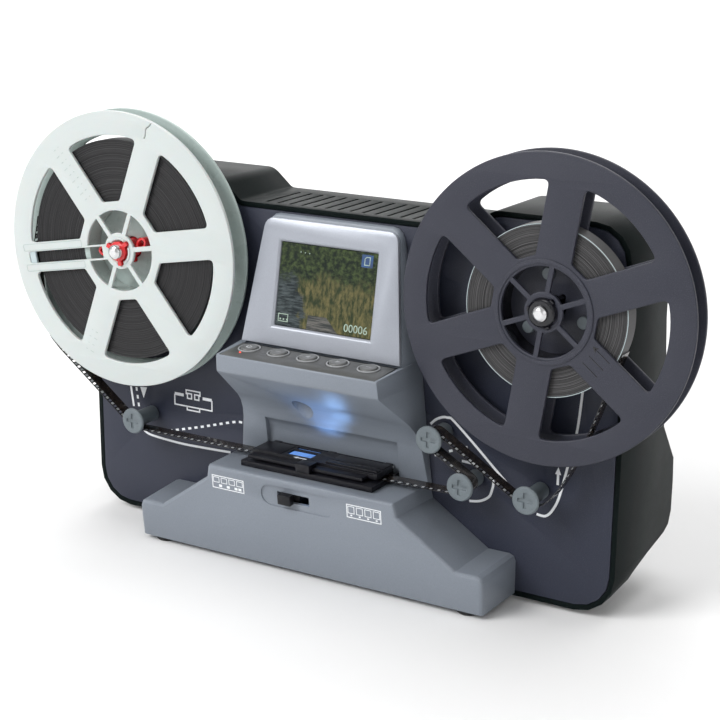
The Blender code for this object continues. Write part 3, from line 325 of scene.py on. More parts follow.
def film_finish():
    """Exposed film: brown-black base with a new picture every frame, and glossy."""
    made, tree, shader = new_material("film_base_finish")
    spot = split(tree, shader_node(tree, "ShaderNodeTexCoord").outputs["UV"])
    step = math_node(tree, "FLOOR", spot["X"])
    seed = shader_node(tree, "ShaderNodeTexWhiteNoise", {"W": step}, noise_dimensions="1D").outputs["Value"]
    corner = {"X": spot["X"], "Y": spot["Y"], "Z": times(tree, seed, 40.0)}
    place = shader_node(tree, "ShaderNodeCombineXYZ", corner).outputs[0]
    scene_detail = noise(tree, place, 3.0, 4.0, 0.6)
    picture = mix_colour(tree, ramp(tree, scene_detail, 0.38, 0.72), (0.005, 0.004, 0.004), (0.050, 0.036, 0.026))
    within = math_node(tree, "FRACT", spot["X"])
    inside = times(tree, band(tree, within, 0.04, 0.96, 0.04), band(tree, spot["Y"], 0.34, 0.97, 0.04))
    edge_mark = times(tree, band(tree, within, 0.50, 0.86, 0.04), band(tree, spot["Y"], 0.07, 0.29, 0.02))
    base = mix_colour(tree, edge_mark, (0.010, 0.008, 0.007), (0.45, 0.47, 0.48))
    give(tree, shader.inputs["Base Color"], mix_colour(tree, inside, base, picture))
    set_sockets(shader, Roughness=0.24, Coat_Weight=0.3)
    bump(tree, shader, scene_detail, 0.06, 0.0001)
    return made


def lit_screen():
    """The display: a river bank with bushes, dry grass and a jetty, lit from behind."""
    made, tree, shader = new_material("screen_picture")
    parts = split(tree, object_place(tree))
    size = SCREEN_HIGH - SCREEN_LOW
    u = math_node(tree, "DIVIDE", minus(tree, parts["X"], SCREEN_LOW.x), size.x)
    v = math_node(tree, "DIVIDE", minus(tree, parts["Z"], SCREEN_LOW.z), size.z)

    def field(across, up, scale):
        """Noise over the picture, stretched across and up."""
        corner = {"X": times(tree, u, across), "Y": times(tree, v, up)}
        place = shader_node(tree, "ShaderNodeCombineXYZ", corner).outputs[0]
        return noise(tree, place, scale, 4.0, 0.65)

    def ground_cover(stretch, limits, dark, light):
        return mix_colour(tree, ramp(tree, field(*stretch), *limits), dark, light)

    leaves = ground_cover((1.3, 1.0, 17.0), (0.38, 0.70), (0.004, 0.012, 0.004), (0.085, 0.125, 0.035))
    blades = ground_cover((3.0, 0.8, 9.0), (0.34, 0.68), (0.022, 0.040, 0.010), (0.215, 0.185, 0.070))
    ripples = ground_cover((0.7, 3.2, 11.0), (0.38, 0.66), (0.012, 0.020, 0.022), (0.11, 0.135, 0.14))
    boards = ground_cover((0.6, 6.0, 7.0), (0.40, 0.62), (0.05, 0.055, 0.055), (0.22, 0.21, 0.19))
    ragged = times(tree, minus(tree, field(1.0, 1.0, 5.0), 0.5), 0.5)
    bank = ramp(tree, plus(tree, v, ragged), 0.50, 0.70)
    shore = ramp(tree, plus(tree, plus(tree, u, times(tree, v, 0.15)), ragged), 0.34, 0.26)
    view = mix_colour(tree, bank, mix_colour(tree, shore, blades, ripples), leaves)
    # The jetty leans to the left as it goes up, and narrows.
    centre = plus(tree, 0.50, times(tree, v, -0.35))
    reach = math_node(tree, "ABSOLUTE", minus(tree, u, centre))
    half_width = minus(tree, 0.17, times(tree, v, 0.40))
    side = ramp(tree, minus(tree, half_width, reach), 0.0, 0.008)
    jetty = times(tree, side, ramp(tree, v, 0.185, 0.165))
    give(tree, shader.inputs["Emission Color"], mix_colour(tree, jetty, view, boards))
    set_sockets(shader, Emission_Strength=0.80, Specular_IOR_Level=0.2, Roughness=0.16)
    set_sockets(shader, Base_Color=(0.012, 0.013, 0.014, 1.0))
    return made


def glowing(name, colour, strength, base):
    """A lit diffuser, a little uneven."""
    made, tree, shader = new_material(name)
    patch = ramp(tree, noise(tree, object_place(tree), 320.0, 2.0), 0.25, 0.70)
    dim = tuple(0.55 * c for c in colour)
    give(tree, shader.inputs["Emission Color"], mix_colour(tree, patch, dim, colour))
    set_sockets(shader, Emission_Strength=strength, Base_Color=(*base, 1.0), Roughness=0.4)
    return made


# A finish with no colour of its own takes the one of its name from the panel's settings.
SATIN = {
    "amount": 0.40, "scale": 3000.0, "mottle": 0.08, "spread": 0.08, "relief": 0.35, "dust": 0.0, "specular": 0.35
}
SMOOTH_BLACK = {"scale": 3000.0, "specular": 0.3, "dust": 0.01}
MOULDED = {
    "housing": {"amount": 0.10, "mottle": 0.05, "rough": 0.40, "spread": 0.08},
    "bezel": {"amount": 0.08, "mottle": 0.04, "rough": 0.34, "metallic": 0.25},
    "strip": {"amount": 0.12, "mottle": 0.05, "rough": 0.42},
    "button": {"colour": (0.115, 0.117, 0.118), "amount": 0.10, "mottle": 0.05, "rough": 0.38},
    # Pale grey: painted highlight on the raised rings round the buttons, and the real grey of the marks printed on four
    # buttons.
    "button_ring": {"colour": (0.30, 0.31, 0.32), "amount": 0.05, "mottle": 0.04, "rough": 0.30},
    "panel": {**SATIN, "speckle": (0.085, 0.085, 0.11), "rough": 0.50},
    "shell": {
        "speckle": (0.030, 0.038, 0.036), "amount": 0.25, "scale": 3000.0, "mottle": 0.12, "rough": 0.42,
        "spread": 0.10, "relief": 0.20, "dust": 0.0, "specular": 0.25, "IOR": 1.18,
    },
    "supply_reel": {
        "speckle": (0.56, 0.60, 0.59), "amount": 0.04, "scale": 1500.0, "mottle": 0.015, "rough": 0.30,
        "spread": 0.10, "relief": 0.05, "dust": 0.0, "Subsurface_Weight": 0.12, "Subsurface_Scale": 0.002,
    },
    # A darker copy of the pale reel's plastic: the core's own tone, and painted shade on the rear flange and on the
    # raised marks of the front flange.
    "supply_core": {
        "colour": (0.36, 0.43, 0.41), "speckle": (0.6, 0.66, 0.64), "amount": 0.05, "scale": 900.0,
        "mottle": 0.05, "rough": 0.28, "spread": 0.10, "relief": 0.05, "dust": 0.0,
    },
    "takeup_reel": {**SATIN, "speckle": (0.095, 0.095, 0.115), "rough": 0.44},
    "takeup_hub": {"colour": (0.006, 0.006, 0.009), "amount": 0.05, "rough": 0.20, "dust": 0.0},
    "roller": {"amount": 0.12, "mottle": 0.06, "rough": 0.42},
    "gate": {
        **SMOOTH_BLACK, "colour": (0.006, 0.006, 0.009), "speckle": (0.03, 0.03, 0.035), "amount": 0.16, "rough": 0.34
    },
    "black_plastic": {
        **SMOOTH_BLACK, "colour": (0.006, 0.006, 0.008), "speckle": (0.03, 0.03, 0.033), "rough": 0.40
    },
    "rubber": {
        "colour": (0.010, 0.010, 0.011), "speckle": (0.07, 0.07, 0.07), "amount": 0.25, "scale": 1200.0,
        "mottle": 0.2, "rough": 0.80,
    },
    "adapter": {"colour": (0.62, 0.020, 0.025), "amount": 0.06, "rough": 0.24, "dust": 0.0, "coat": 0.2},
    "white_print": {"colour": (0.78, 0.80, 0.82), "amount": 0.08, "mottle": 0.06, "rough": 0.55, "dust": 0.0},
    "plain_steel": {"colour": (0.58, 0.58, 0.59), "amount": 0.10, "rough": 0.28, "metallic": 1.0, "scale": 2600.0},
    "circuit_board": {
        "colour": (0.02, 0.15, 0.05), "speckle": (0.65, 0.55, 0.30), "amount": 0.5, "scale": 420.0,
        "mottle": 0.2, "rough": 0.35,
    },
    "white_board": {
        "colour": (0.75, 0.75, 0.72), "speckle": (0.4, 0.4, 0.4), "amount": 0.3, "scale": 420.0, "rough": 0.4
    },
    "nylon": {"colour": (0.70, 0.70, 0.64), "amount": 0.08, "rough": 0.45, "dust": 0.0},
    "brass": {"colour": (0.62, 0.47, 0.20), "amount": 0.10, "rough": 0.30, "metallic": 1.0},
    "clear_block": {"colour": (0.42, 0.50, 0.52), "amount": 0.05, "rough": 0.12, "coat": 0.4, "dust": 0.0},
}
# Light's colour and strength, and the colour when unlit.
GLOWING = {
    "blue_light": ((0.28, 0.52, 1.0), 5.0, (0.5, 0.55, 0.65)),
    "counter_digit": ((0.50, 0.66, 0.54), 0.9, (0.03, 0.03, 0.03)),
    "screen_icon": ((0.010, 0.085, 0.26), 0.9, (0.01, 0.01, 0.02)),
    "frosted_pane": ((0.10, 0.30, 0.90), 0.8, (0.10, 0.16, 0.25)),
    "lit_film_frame": ((0.13, 0.36, 1.0), 3.2, (0.05, 0.08, 0.15)),
    "red_led": ((1.0, 0.10, 0.05), 1.6, (0.4, 0.02, 0.02)),
}
FINISHES = {}


def make_finish(name):
    if name in MOULDED:
        values = dict(MOULDED[name])
        if "colour" not in values:
            values["colour"] = tuple(getattr(bpy.context.scene.scanner_finish, name))
        return moulded(name + "_finish", **values)
    if name in GLOWING:
        return glowing(name + "_finish", *GLOWING[name])
    return {"film": film_finish, "screen": lit_screen}[name]()


def finish(name):
    """One of the scene's materials, made the first time that it is asked for."""
    if name not in FINISHES:
        FINISHES[name] = make_finish(name)
    return FINISHES[name]


# ---------------------------------------------------------------- mesh tools
def finished(name, shape, material, body, sharp=32.0, replaces=()):
    """An object from a bmesh, smooth except where it turns sharply, riding on its body."""
    bmesh.ops.recalc_face_normals(shape, faces=shape.faces)
    for face in shape.faces:
        face.smooth = True
    limit = math.radians(sharp)
    for edge in shape.edges:
        edge.smooth = len(edge.link_faces) != 2 or edge.calc_face_angle(0.0) < limit
    mesh = bpy.data.meshes.new(name)
    shape.to_mesh(mesh)
    shape.free()
    if "custom_normal" in mesh.attributes:
        mesh.attributes.remove(mesh.attributes["custom_normal"])
    mesh.materials.clear()
    mesh.materials.append(finish(material))
    obj = bpy.data.objects.new(name, mesh)
    bpy.context.scene.collection.objects.link(obj)
    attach(obj, body)
    if replaces:
        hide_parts(*replaces)
    return obj


def cad_shape(node):
    """The CAD node's solid with its facets joined up again."""
    shape = bmesh.new()
    shape.from_mesh(frame["nodes"][node].data)
    bmesh.ops.remove_doubles(shape, verts=shape.verts, dist=2e-6)
    bmesh.ops.dissolve_limit(
        shape, angle_limit=math.radians(0.5), verts=shape.verts, edges=shape.edges, use_dissolve_boundaries=False
    )
    return shape


def soften(shape, width, over):
    """Rounds the edges that turn by more than an angle in degrees."""
    edges = [e for e in shape.edges if len(e.link_faces) == 2 and e.calc_face_angle(0.0) > math.radians(over)]
    round_edges(shape, edges, width, 2)


def round_edges(shape, edges, width, steps):
    bmesh.ops.bevel(
        shape, geom=edges, offset=width, segments=steps, profile=0.5, affect="EDGES", clamp_overlap=True
    )


def soft_copy(node, width, material, body=ROOT, over=28.0, sharp=40.0):
    """A piece in a CAD node's place, of the same shape with rounded edges."""
    shape = cad_shape(node)
    soften(shape, width, over)
    finished(node + "_piece", shape, material, body, sharp, (node,))


def slot_of(node):
    for entry in frame["record"]["subparts"]:
        if entry["node"] == node:
            return entry["material_slot"]
    raise ValueError(node)


def repaint(node, material):
    """A CAD node whose shape is right keeps it and takes a finish."""
    obj = frame["nodes"][node]
    for slot in obj.material_slots:
        slot.material = finish(material)


def lathe(shape, profile, centre, steps=64):
    """Adds a body turned about an axis along Y. The profile is (radius, y) pairs, from axis to axis or in a loop."""
    rings = []
    for radius, y in profile:
        if radius < 1e-7:
            rings.append([shape.verts.new((centre[0], y, centre[1]))])
            continue
        ring = []
        for k in range(steps):
            a = 2 * math.pi * k / steps
            ring.append(shape.verts.new((centre[0] + radius * math.cos(a), y, centre[1] + radius * math.sin(a))))
        rings.append(ring)
    pairs = list(zip(rings, rings[1:]))
    if len(rings[0]) > 1:
        pairs.append((rings[-1], rings[0]))
    for first, second in pairs:
        for k in range(steps):
            j = (k + 1) % steps
            corners = [first[k % len(first)], first[j % len(first)], second[j % len(second)], second[k % len(second)]]
            corners = list(dict.fromkeys(corners))
            if len(corners) > 2:
                shape.faces.new(corners)


def lathed(name, profile, centre, material, body, steps=64, replaces=(), sharp=32.0):
    shape = bmesh.new()
    lathe(shape, profile, centre, steps)
    return finished(name, shape, material, body, sharp, replaces)


def mesh_of(name, data):
    """The mesh that a curve or a text makes."""
    holder = bpy.data.objects.new(name, data)
    bpy.context.scene.collection.objects.link(holder)
    bpy.context.view_layer.update()
    mesh = bpy.data.meshes.new_from_object(holder.evaluated_get(bpy.context.evaluated_depsgraph_get()))
    bpy.data.objects.remove(holder, do_unlink=True)
    return mesh


def plate_mesh(name, outlines, low, high, edge):
    """A flat plate in XZ between two depths in Y, with holes and rounded edges."""
    curve = bpy.data.curves.new(name, "CURVE")
    curve.dimensions = "2D"
    curve.fill_mode = "BOTH"
    curve.extrude = (high - low) / 2 - edge
    curve.bevel_depth = edge
    curve.bevel_resolution = 2
    curve.offset = -edge
    for outline in outlines:
        spline = curve.splines.new("POLY")
        spline.points.add(len(outline) - 1)
        for point, (x, z) in zip(spline.points, outline):
            point.co = (x, z, 0.0, 1.0)
        spline.use_cyclic_u = True
    mesh = mesh_of(name, curve)
    mesh.transform(Matrix.Translation((0, (low + high) / 2, 0)) @ STAND_UP)
    shape = bmesh.new()
    shape.from_mesh(mesh)
    bmesh.ops.remove_doubles(shape, verts=shape.verts, dist=1e-6)
    return shape


def plate(name, outlines, low, high, edge, material, body, slot, replaces=()):
    finished(name, plate_mesh(name, outlines, low, high, edge), material, body, 40.0, replaces)


def polar(radius, angle):
    return Vector((radius * math.cos(angle), radius * math.sin(angle)))


def rounded(points, radii, steps=6):
    """The outline with each corner turned into an arc of its radius."""
    result = []
    count = len(points)
    for i, radius in enumerate(radii):
        here = Vector(points[i])
        before, after = Vector(points[i - 1]) - here, Vector(points[(i + 1) % count]) - here
        if radius <= 0:
            result.append(tuple(here))
            continue
        half = before.angle(after) / 2
        reach = min(radius / math.tan(half), 0.49 * before.length, 0.49 * after.length)
        start, end = here + before.normalized() * reach, here + after.normalized() * reach
        for k in range(steps + 1):
            t = k / steps
            result.append(tuple(start * (1 - t) ** 2 + here * 2 * t * (1 - t) + end * t * t))
    return result


def circle(centre, radius, steps):
    turns = [2 * math.pi * k / steps for k in range(steps)]
    return [(centre[0] + radius * math.cos(a), centre[1] + radius * math.sin(a)) for a in turns]


def oblong(x0, z0, x1, z1):
    return [(x0, z0), (x1, z0), (x1, z1), (x0, z1)]


def bridge(x0, x1, foot, top):
    """Three sides of an oblong, as a line that starts and ends at its foot."""
    return [(x0, foot), (x0, top), (x1, top), (x1, foot)]


def on_spoke(angle, places):
    """Points given as (distance out, distance to the left) along a direction from the middle."""
    along, across = polar(1.0, angle), polar(1.0, angle + math.pi / 2)
    return [tuple(along * out + across * left) for out, left in places]


def shifted(outline, centre):
    return [(centre[0] + x, centre[1] + z) for x, z in outline]


def sides_of(points, width, closed=False):
    """The two sides of a line of even width along points."""
    points = [Vector(p) for p in points]
    count, left, right = len(points), [], []
    for i, point in enumerate(points):
        before = point - points[i - 1] if closed or i else points[1] - point
        after = points[(i + 1) % count] - point if closed or i + 1 < count else before
        before, after = before.normalized(), after.normalized()
        heading = (before + after).normalized()
        side = Vector((-heading.y, heading.x)) * width / 2 / max(0.5, heading.dot(after))
        left.append(point + side)
        right.append(point - side)
    return left, right


def stroke_outline(points, width):
    """The outline of a line of even width along points, with round ends."""
    points = [Vector(p) for p in points]
    left, right = sides_of(points, width)
    outline = list(left)
    for end, heading in ((points[-1], points[-1] - points[-2]), (points[0], points[0] - points[1])):
        angle = math.atan2(heading.y, heading.x)
        outline += [end + polar(width / 2, angle + a) for a in (0.8, 0.0, -0.8)]
        if end == points[-1]:
            outline += list(reversed(right))
    return [tuple(p) for p in outline]


def curve_points(points, spacing):
    """Evenly spaced points on a smooth curve through the given ones."""
    knots = [Vector(p) for p in points]
    fine = []
    for i in range(len(knots) - 1):
        a, b = knots[max(i - 1, 0)], knots[i]
        c, d = knots[i + 1], knots[min(i + 2, len(knots) - 1)]
        for k in range(12):
            t = k / 12
            fine.append(
                0.5 * ((2 * b) + (c - a) * t + (2 * a - 5 * b + 4 * c - d) * t * t + (3 * b - a - 3 * c + d) * t ** 3)
            )
    fine.append(knots[-1])
    return resampled(fine, spacing)


def run_lengths(points):
    """The distance along a line to each of its points."""
    lengths = [0.0]
    for a, b in zip(points, points[1:]):
        lengths.append(lengths[-1] + (b - a).length)
    return lengths


def points_at(points, targets):
    """The points at rising distances along a line."""
    lengths, found, i = run_lengths(points), [], 0
    for target in targets:
        while i < len(points) - 2 and lengths[i + 1] < target:
            i += 1
        span = max(1e-9, lengths[i + 1] - lengths[i])
        found.append(points[i].lerp(points[i + 1], min(1.0, (target - lengths[i]) / span)))
    return found


def resampled(points, spacing):
    total = run_lengths(points)[-1]
    count = max(1, round(total / spacing))
    return points_at(points, [total * k / count for k in range(count + 1)])


def dashes(points, dash, gap, width):
    """Short strokes along a smooth curve."""
    spacing = 0.0002
    fine = curve_points(points, spacing)
    step, on = round((dash + gap) / spacing), round(dash / spacing)
    return [(fine[start : start + on : 3], width, False) for start in range(0, len(fine) - on, step)]


def flat_print(name, marks, y, thick, material, body, place=None):
    """Printed or raised marks on a face looking towards -Y: filled outlines, and (points, width, closed) lines."""
    shape = bmesh.new()
    for points, width, closed in (mark for mark in marks if isinstance(mark, tuple)):
        rows = []
        for left, right in zip(*sides_of(points, width, closed)):
            corners = ((left, y - thick), (right, y - thick), (right, y), (left, y))
            rows.append([shape.verts.new((spot.x, depth, spot.y)) for spot, depth in corners])
        pairs = list(zip(rows, rows[1:]))
        if closed:
            pairs.append((rows[-1], rows[0]))
        else:
            shape.faces.new(rows[0])
            shape.faces.new(rows[-1])
        for first, second in pairs:
            for k in range(4):
                shape.faces.new((first[k], first[k - 1], second[k - 1], second[k]))
    for outline in (mark for mark in marks if not isinstance(mark, tuple)):
        front = [shape.verts.new((x, y - thick, z)) for x, z in outline]
        back = [shape.verts.new((x, y, z)) for x, z in outline]
        shape.faces.new(front)
        shape.faces.new(list(reversed(back)))
        for k in range(len(outline)):
            j = (k + 1) % len(outline)
            shape.faces.new((front[k], back[k], back[j], front[j]))
    if place:
        bmesh.ops.transform(shape, matrix=place, verts=shape.verts)
    finished(name, shape, material, body, 40.0)


def soft_box(shape, low, high, edge, steps):
    """Adds a box with rounded edges to a bmesh."""
    made = bmesh.ops.create_cube(shape, size=1.0)["verts"]
    size = [h - l for l, h in zip(low, high)]
    centre = [(h + l) / 2 for l, h in zip(low, high)]
    bmesh.ops.transform(shape, matrix=Matrix.Translation(centre) @ Matrix.Diagonal((*size, 1.0)), verts=made)
    round_edges(shape, list({e for v in made for e in v.link_edges}), edge, steps)


def soft_boxes(name, boxes, material, body, steps=2):
    """A piece of boxes with rounded edges, each given as (low corner, high corner, edge radius)."""
    shape = bmesh.new()
    for low, high, edge in boxes:
        soft_box(shape, low, high, edge, steps)
    finished(name, shape, material, body)


# ---------------------------------------------------------------- reels
WINDOW_OUTER_R = 0.0527
WINDOW_INNER_R = 0.0232
HUB_OPEN_R = 0.0186
BOSS_R = 0.0080
BORE_R = 0.0050


def window(spoke_deg, spoke_w, index):
    """One large opening of a flange, between two parallel-sided spokes."""
    a0 = math.radians(spoke_deg + 60 * index)
    a1 = a0 + math.radians(60)
    inner = math.asin(spoke_w / 2 / WINDOW_INNER_R)
    outer = math.asin(spoke_w / 2 / WINDOW_OUTER_R)
    steps, corner = 14, 0.0032
    arc = [polar(WINDOW_OUTER_R, a0 + outer + (a1 - a0 - 2 * outer) * k / steps) for k in range(steps + 1)]
    # The arc's points beside its ends are left out, which gives the rounded corners their room.
    points = [polar(WINDOW_INNER_R, a1 - inner), polar(WINDOW_INNER_R, a0 + inner), arc[0], *arc[2:-2], arc[-1]]
    return rounded(points, [0.0020, 0.0020, corner] + [0] * (steps - 3) + [corner], 7)


def hub_pocket(spoke_deg, index, rib_before, rib_after):
    """One opening of a hub, between two thin ribs of their own half widths."""
    a0 = math.radians(spoke_deg + 60 * index)
    a1 = a0 + math.radians(60)

    def offset(rib, radius):
        return math.asin(rib / radius)

    far = (a0 + offset(rib_before, HUB_OPEN_R), a1 - offset(rib_after, HUB_OPEN_R))
    near = (a0 + offset(rib_before, BOSS_R + 0.0004), a1 - offset(rib_after, BOSS_R + 0.0004))
    points = [polar(HUB_OPEN_R, far[0] + (far[1] - far[0]) * k / 10) for k in range(11)]
    points += [polar(BOSS_R + 0.0004, near[1] - (near[1] - near[0]) * k / 5) for k in range(6)]
    return [tuple(p) for p in points]


def key_bore(radius, reach, half, spoke_deg, steps=8):
    """A round bore with three keyways, a third of a turn apart."""
    points = []
    for k in range(3):
        a = math.radians(spoke_deg + 120 * k + 30)
        side = math.asin(half / radius)
        points.append(polar(radius, a - side))
        points += [polar(reach - half, a) + polar(half, a + b) for b in (-1.4, -0.7, 0.0, 0.7, 1.4)]
        points.append(polar(radius, a + side))
        rest = math.radians(120) - 2 * side
        points += [polar(radius, a + side + rest * i / steps) for i in range(1, steps)]
    return [tuple(p) for p in points]


REELS = {
    # The supply reel's rear flange takes the darker core finish as painted shade.
    "supply": {
        "at": SUPPLY_AT, "spoke_deg": 10.0, "slotted": 3, "front": "supply_reel", "rear": "supply_core",
        "core": "supply_core", "adapter": "adapter", "slot": "reel_white", "core_slot": "reel_white_core",
    },
    "takeup": {
        "at": TAKEUP_AT, "spoke_deg": 21.4, "slotted": None, "front": "takeup_reel", "rear": "takeup_reel",
        "core": "takeup_hub", "adapter": "takeup_hub", "slot": "reel_grey", "core_slot": "reel_grey",
    },
}
KEY_REACH, KEY_HALF = 0.0070, 0.0013
RIB_HALF, WIDE_RIB_HALF = 0.0011, 0.0036
CUT_NEAR, CUT_FAR = 0.0098, 0.0548
# A spindle's tip as (radius, distance behind its front).
SPINDLE_TIP = (
    (0, 0.0001), (0.0007, 0), (0.0018, 0), (0.0024, 0.0003), (0.0031, 0.0010),
    (0.0033, 0.0016), (0.0033, 0.0036), (0.0031, 0.0038), (0.0029, 0.0044),
)


class SCANNER_OT_reels(bpy.types.Operator):
    """Builds the flanges, cores and spindles of both reels"""

    bl_idname = "scanner.reels"
    bl_label = "Reels and Spindles"

    def execute(self, context):
        sizes = context.scene.scanner_reels
        self.one_reel("supply", sizes.supply_spoke, sizes)
        self.one_reel("takeup", sizes.takeup_spoke, sizes)
        self.supply_details(sizes)
        self.takeup_details()
        return {"FINISHED"}

    def one_reel(self, side, spoke_w, sizes):
        reel = REELS[side]
        centre, body, slot = (reel["at"].x, reel["at"].z), side + "_reel", reel["slot"]
        spoke_deg, slotted = reel["spoke_deg"], reel["slotted"]
        ribs = [WIDE_RIB_HALF if i == slotted else RIB_HALF for i in range(6)]
        rim = circle(centre, REEL_R, 180)
        bore = shifted(key_bore(BORE_R, KEY_REACH, KEY_HALF, spoke_deg), centre)
        windows = [shifted(window(spoke_deg, spoke_w, i), centre) for i in range(6)]
        holes = [shifted(hub_pocket(spoke_deg, i, ribs[i], ribs[(i + 1) % 6]), centre) for i in range(6)]
        if slotted is not None:
            holes += self.supply_cuts(centre, math.radians(spoke_deg + 60 * slotted), sizes)
        for where, outlines in (("front", [rim, *windows, *holes, bore]), ("rear", [rim, *windows, bore])):
            node = "%s_%s_flange" % (side, where)
            low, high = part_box(node)
            name = "%s_flange_%s" % (side, where)
            plate(name, outlines, low.y, high.y, sizes.rim_edge, reel[where], body, slot, (node,))
        low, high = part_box(side + "_core")
        wall = oblong(HUB_OPEN_R + 0.0003, low.y, (high.x - low.x) / 2, high.y)
        lathed(side + "_core_wall", wall, centre, reel["core"], body, 96, (side + "_core",))
        low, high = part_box(side + "_spindle")
        shaft = [(radius, low.y + behind) for radius, behind in SPINDLE_TIP] + [(0.0029, high.y), (0, high.y)]
        name, node = side + "_spindle_shaft", side + "_spindle"
        spindle = lathed(name, shaft, centre, "plain_steel", body, 48, (node,), 24.0)
        spindle.data.materials[0] = turned_metal(side + "_spindle_finish", (0.82, 0.82, 0.83), centre, 0.20)
        repaint(side + "_adapter", reel["adapter"])
        # The raised ring round the bore is three arcs, as the keyways break it.
        arcs = []
        for k in range(3):
            start, sweep = math.radians(spoke_deg + 120 * k + 49), math.radians(82)
            inner = [polar(BORE_R + 0.0005, start + sweep * i / 10) for i in range(11)]
            outer = [polar(BORE_R + 0.0014, start + sweep * (10 - i) / 10) for i in range(11)]
            arcs.append(shifted([tuple(p) for p in inner + outer], centre))
        face_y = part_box(side + "_front_flange")[0].y
        flat_print(side + "_boss_ring", arcs, face_y + 0.0002, 0.0006, reel["front"], body)

    def supply_cuts(self, centre, angle, sizes):
        """The long slot of one spoke, and the curved slit in the rim that takes the film's end."""
        half = sizes.slot_width / 2
        corners = on_spoke(angle, oblong(CUT_NEAR, -half, CUT_FAR, half))
        slot = rounded(corners, [0.0003, 0.0012, 0.0012, 0.0003], 4)
        bends = [
            (0.0201, 0.0592), (0.0189, 0.0578), (0.0176, 0.0571),
            (0.0171, 0.0556), (0.0170, 0.0539), (0.0163, 0.0525),
        ]
        slit = stroke_outline(curve_points(bends, 0.0005), 0.0004)
        return [shifted(slot, centre), shifted(slit, centre)]

    def supply_details(self, sizes):
        """Raised borders beside the slot, ticks, the film clip and the adapter's two curled springs."""
        centre = (SUPPLY_AT.x, SUPPLY_AT.z)
        low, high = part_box("supply_front_flange")
        angle, inset = math.radians(190), 0.0006
        near, far = sizes.slot_width / 2 + inset, sizes.supply_spoke / 2 - inset
        marks = []
        for sign in (-1, 1):
            corners = on_spoke(angle, oblong(0.0215, sign * near, 0.0575, sign * far))
            marks.append((shifted(rounded(corners, [0.0008] * 4, 4), centre), 0.00024, True))
        for spoke, start, count in ((130, 0.0285, 9), (250, 0.0430, 4)):
            for k in range(count):
                out, tick = start + 0.0034 * k, 0.0020 if k % 2 else 0.0012
                for ends in ((tick - 0.0008, -0.0008), (-0.0026, -0.0026 - tick / 2)):
                    line = on_spoke(math.radians(spoke), [(out, left) for left in ends])
                    marks.append((shifted(line, centre), 0.00025, False))
        # The raised borders and ticks take the darker core finish as painted shade.
        flat_print("supply_embossing", marks, low.y, 0.00008, "supply_core", "supply_reel")
        clip = shifted(on_spoke(angle, oblong(0.0512, -0.0027, 0.0547, 0.0027)), centre)
        look = ("clear_block", "supply_reel", "reel_white_core")
        plate("supply_film_clip", [clip], low.y + 0.0004, high.y, 0.0002, *look)
        curl = (
            (0.0082, 0.0), (0.0102, 0.0016), (0.0126, 0.0012), (0.0138, -0.0006),
            (0.0124, -0.0022), (0.0100, -0.0016), (0.0090, -0.0003),
        )
        for number, (turn, mirror) in enumerate(((190, 1), (20, -1)), 1):
            line = on_spoke(math.radians(turn), [(out, left * mirror) for out, left in curl])
            outline = shifted(stroke_outline(curve_points(line, 0.0004), 0.0011), centre)
            look = ("adapter", "supply_reel", "adapter_red")
            plate("adapter_spring_%d" % number, [outline], high.y + 0.0010, high.y + 0.0060, 0.0002, *look)

    def takeup_details(self):
        """The ring and collar of the hub, three bosses on the rear flange, an arrow and three lines."""
        centre = (TAKEUP_AT.x, TAKEUP_AT.z)
        face_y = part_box("takeup_front_flange")[0].y
        lip = face_y - 0.0005
        ring = [
            (0.0196, face_y + 0.0002), (0.0197, lip + 0.0001), (0.0200, lip),
            (0.0211, lip), (0.0214, lip + 0.0001), (0.0215, face_y + 0.0002),
        ]
        lathed("takeup_hub_ring", ring, centre, "takeup_reel", "takeup_reel", 96)
        collar = [
            (0.0034, lip - 0.0022), (0.0050, lip - 0.0022), (0.0058, lip - 0.0014),
            (0.0063, lip), (0.0063, face_y + 0.0010), (0.0034, face_y + 0.0010),
        ]
        lathed("takeup_collar", collar, centre, "takeup_hub", "takeup_reel", 48)
        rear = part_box("takeup_rear_flange")[0].y
        profile = [(0, rear - 0.0016), (0.0023, rear - 0.0016), (0.0026, rear - 0.0013), (0.0026, rear), (0, rear)]
        bosses = bmesh.new()
        for k in range(3):
            spot = polar(0.0140, math.radians(101.4 + 120 * k))
            lathe(bosses, profile, (centre[0] + spot.x, centre[1] + spot.y), 28)
        finished("takeup_bosses", bosses, "roller", "takeup_reel")
        angle = math.radians(321.4)
        arrow = on_spoke(angle, [(0.0235, 0.0052), (0.0262, 0.0066), (0.0256, 0.0052), (0.0262, 0.0038)])
        marks = [shifted(arrow, centre)]
        for left in (-0.0028, 0.0012, 0.0052):
            marks.append((shifted(on_spoke(angle, [(0.0250, left), (0.0330, left)]), centre), 0.0003, False))
        flat_print("takeup_embossing", marks, face_y, 0.00012, "takeup_hub", "takeup_reel")


# ---------------------------------------------------------------- film
ROLL_TONES = {
    "supply": ((0.003, 0.003, 0.0035), (0.042, 0.041, 0.043)),
    "takeup": ((0.008, 0.008, 0.009), (0.100, 0.098, 0.100)),
}


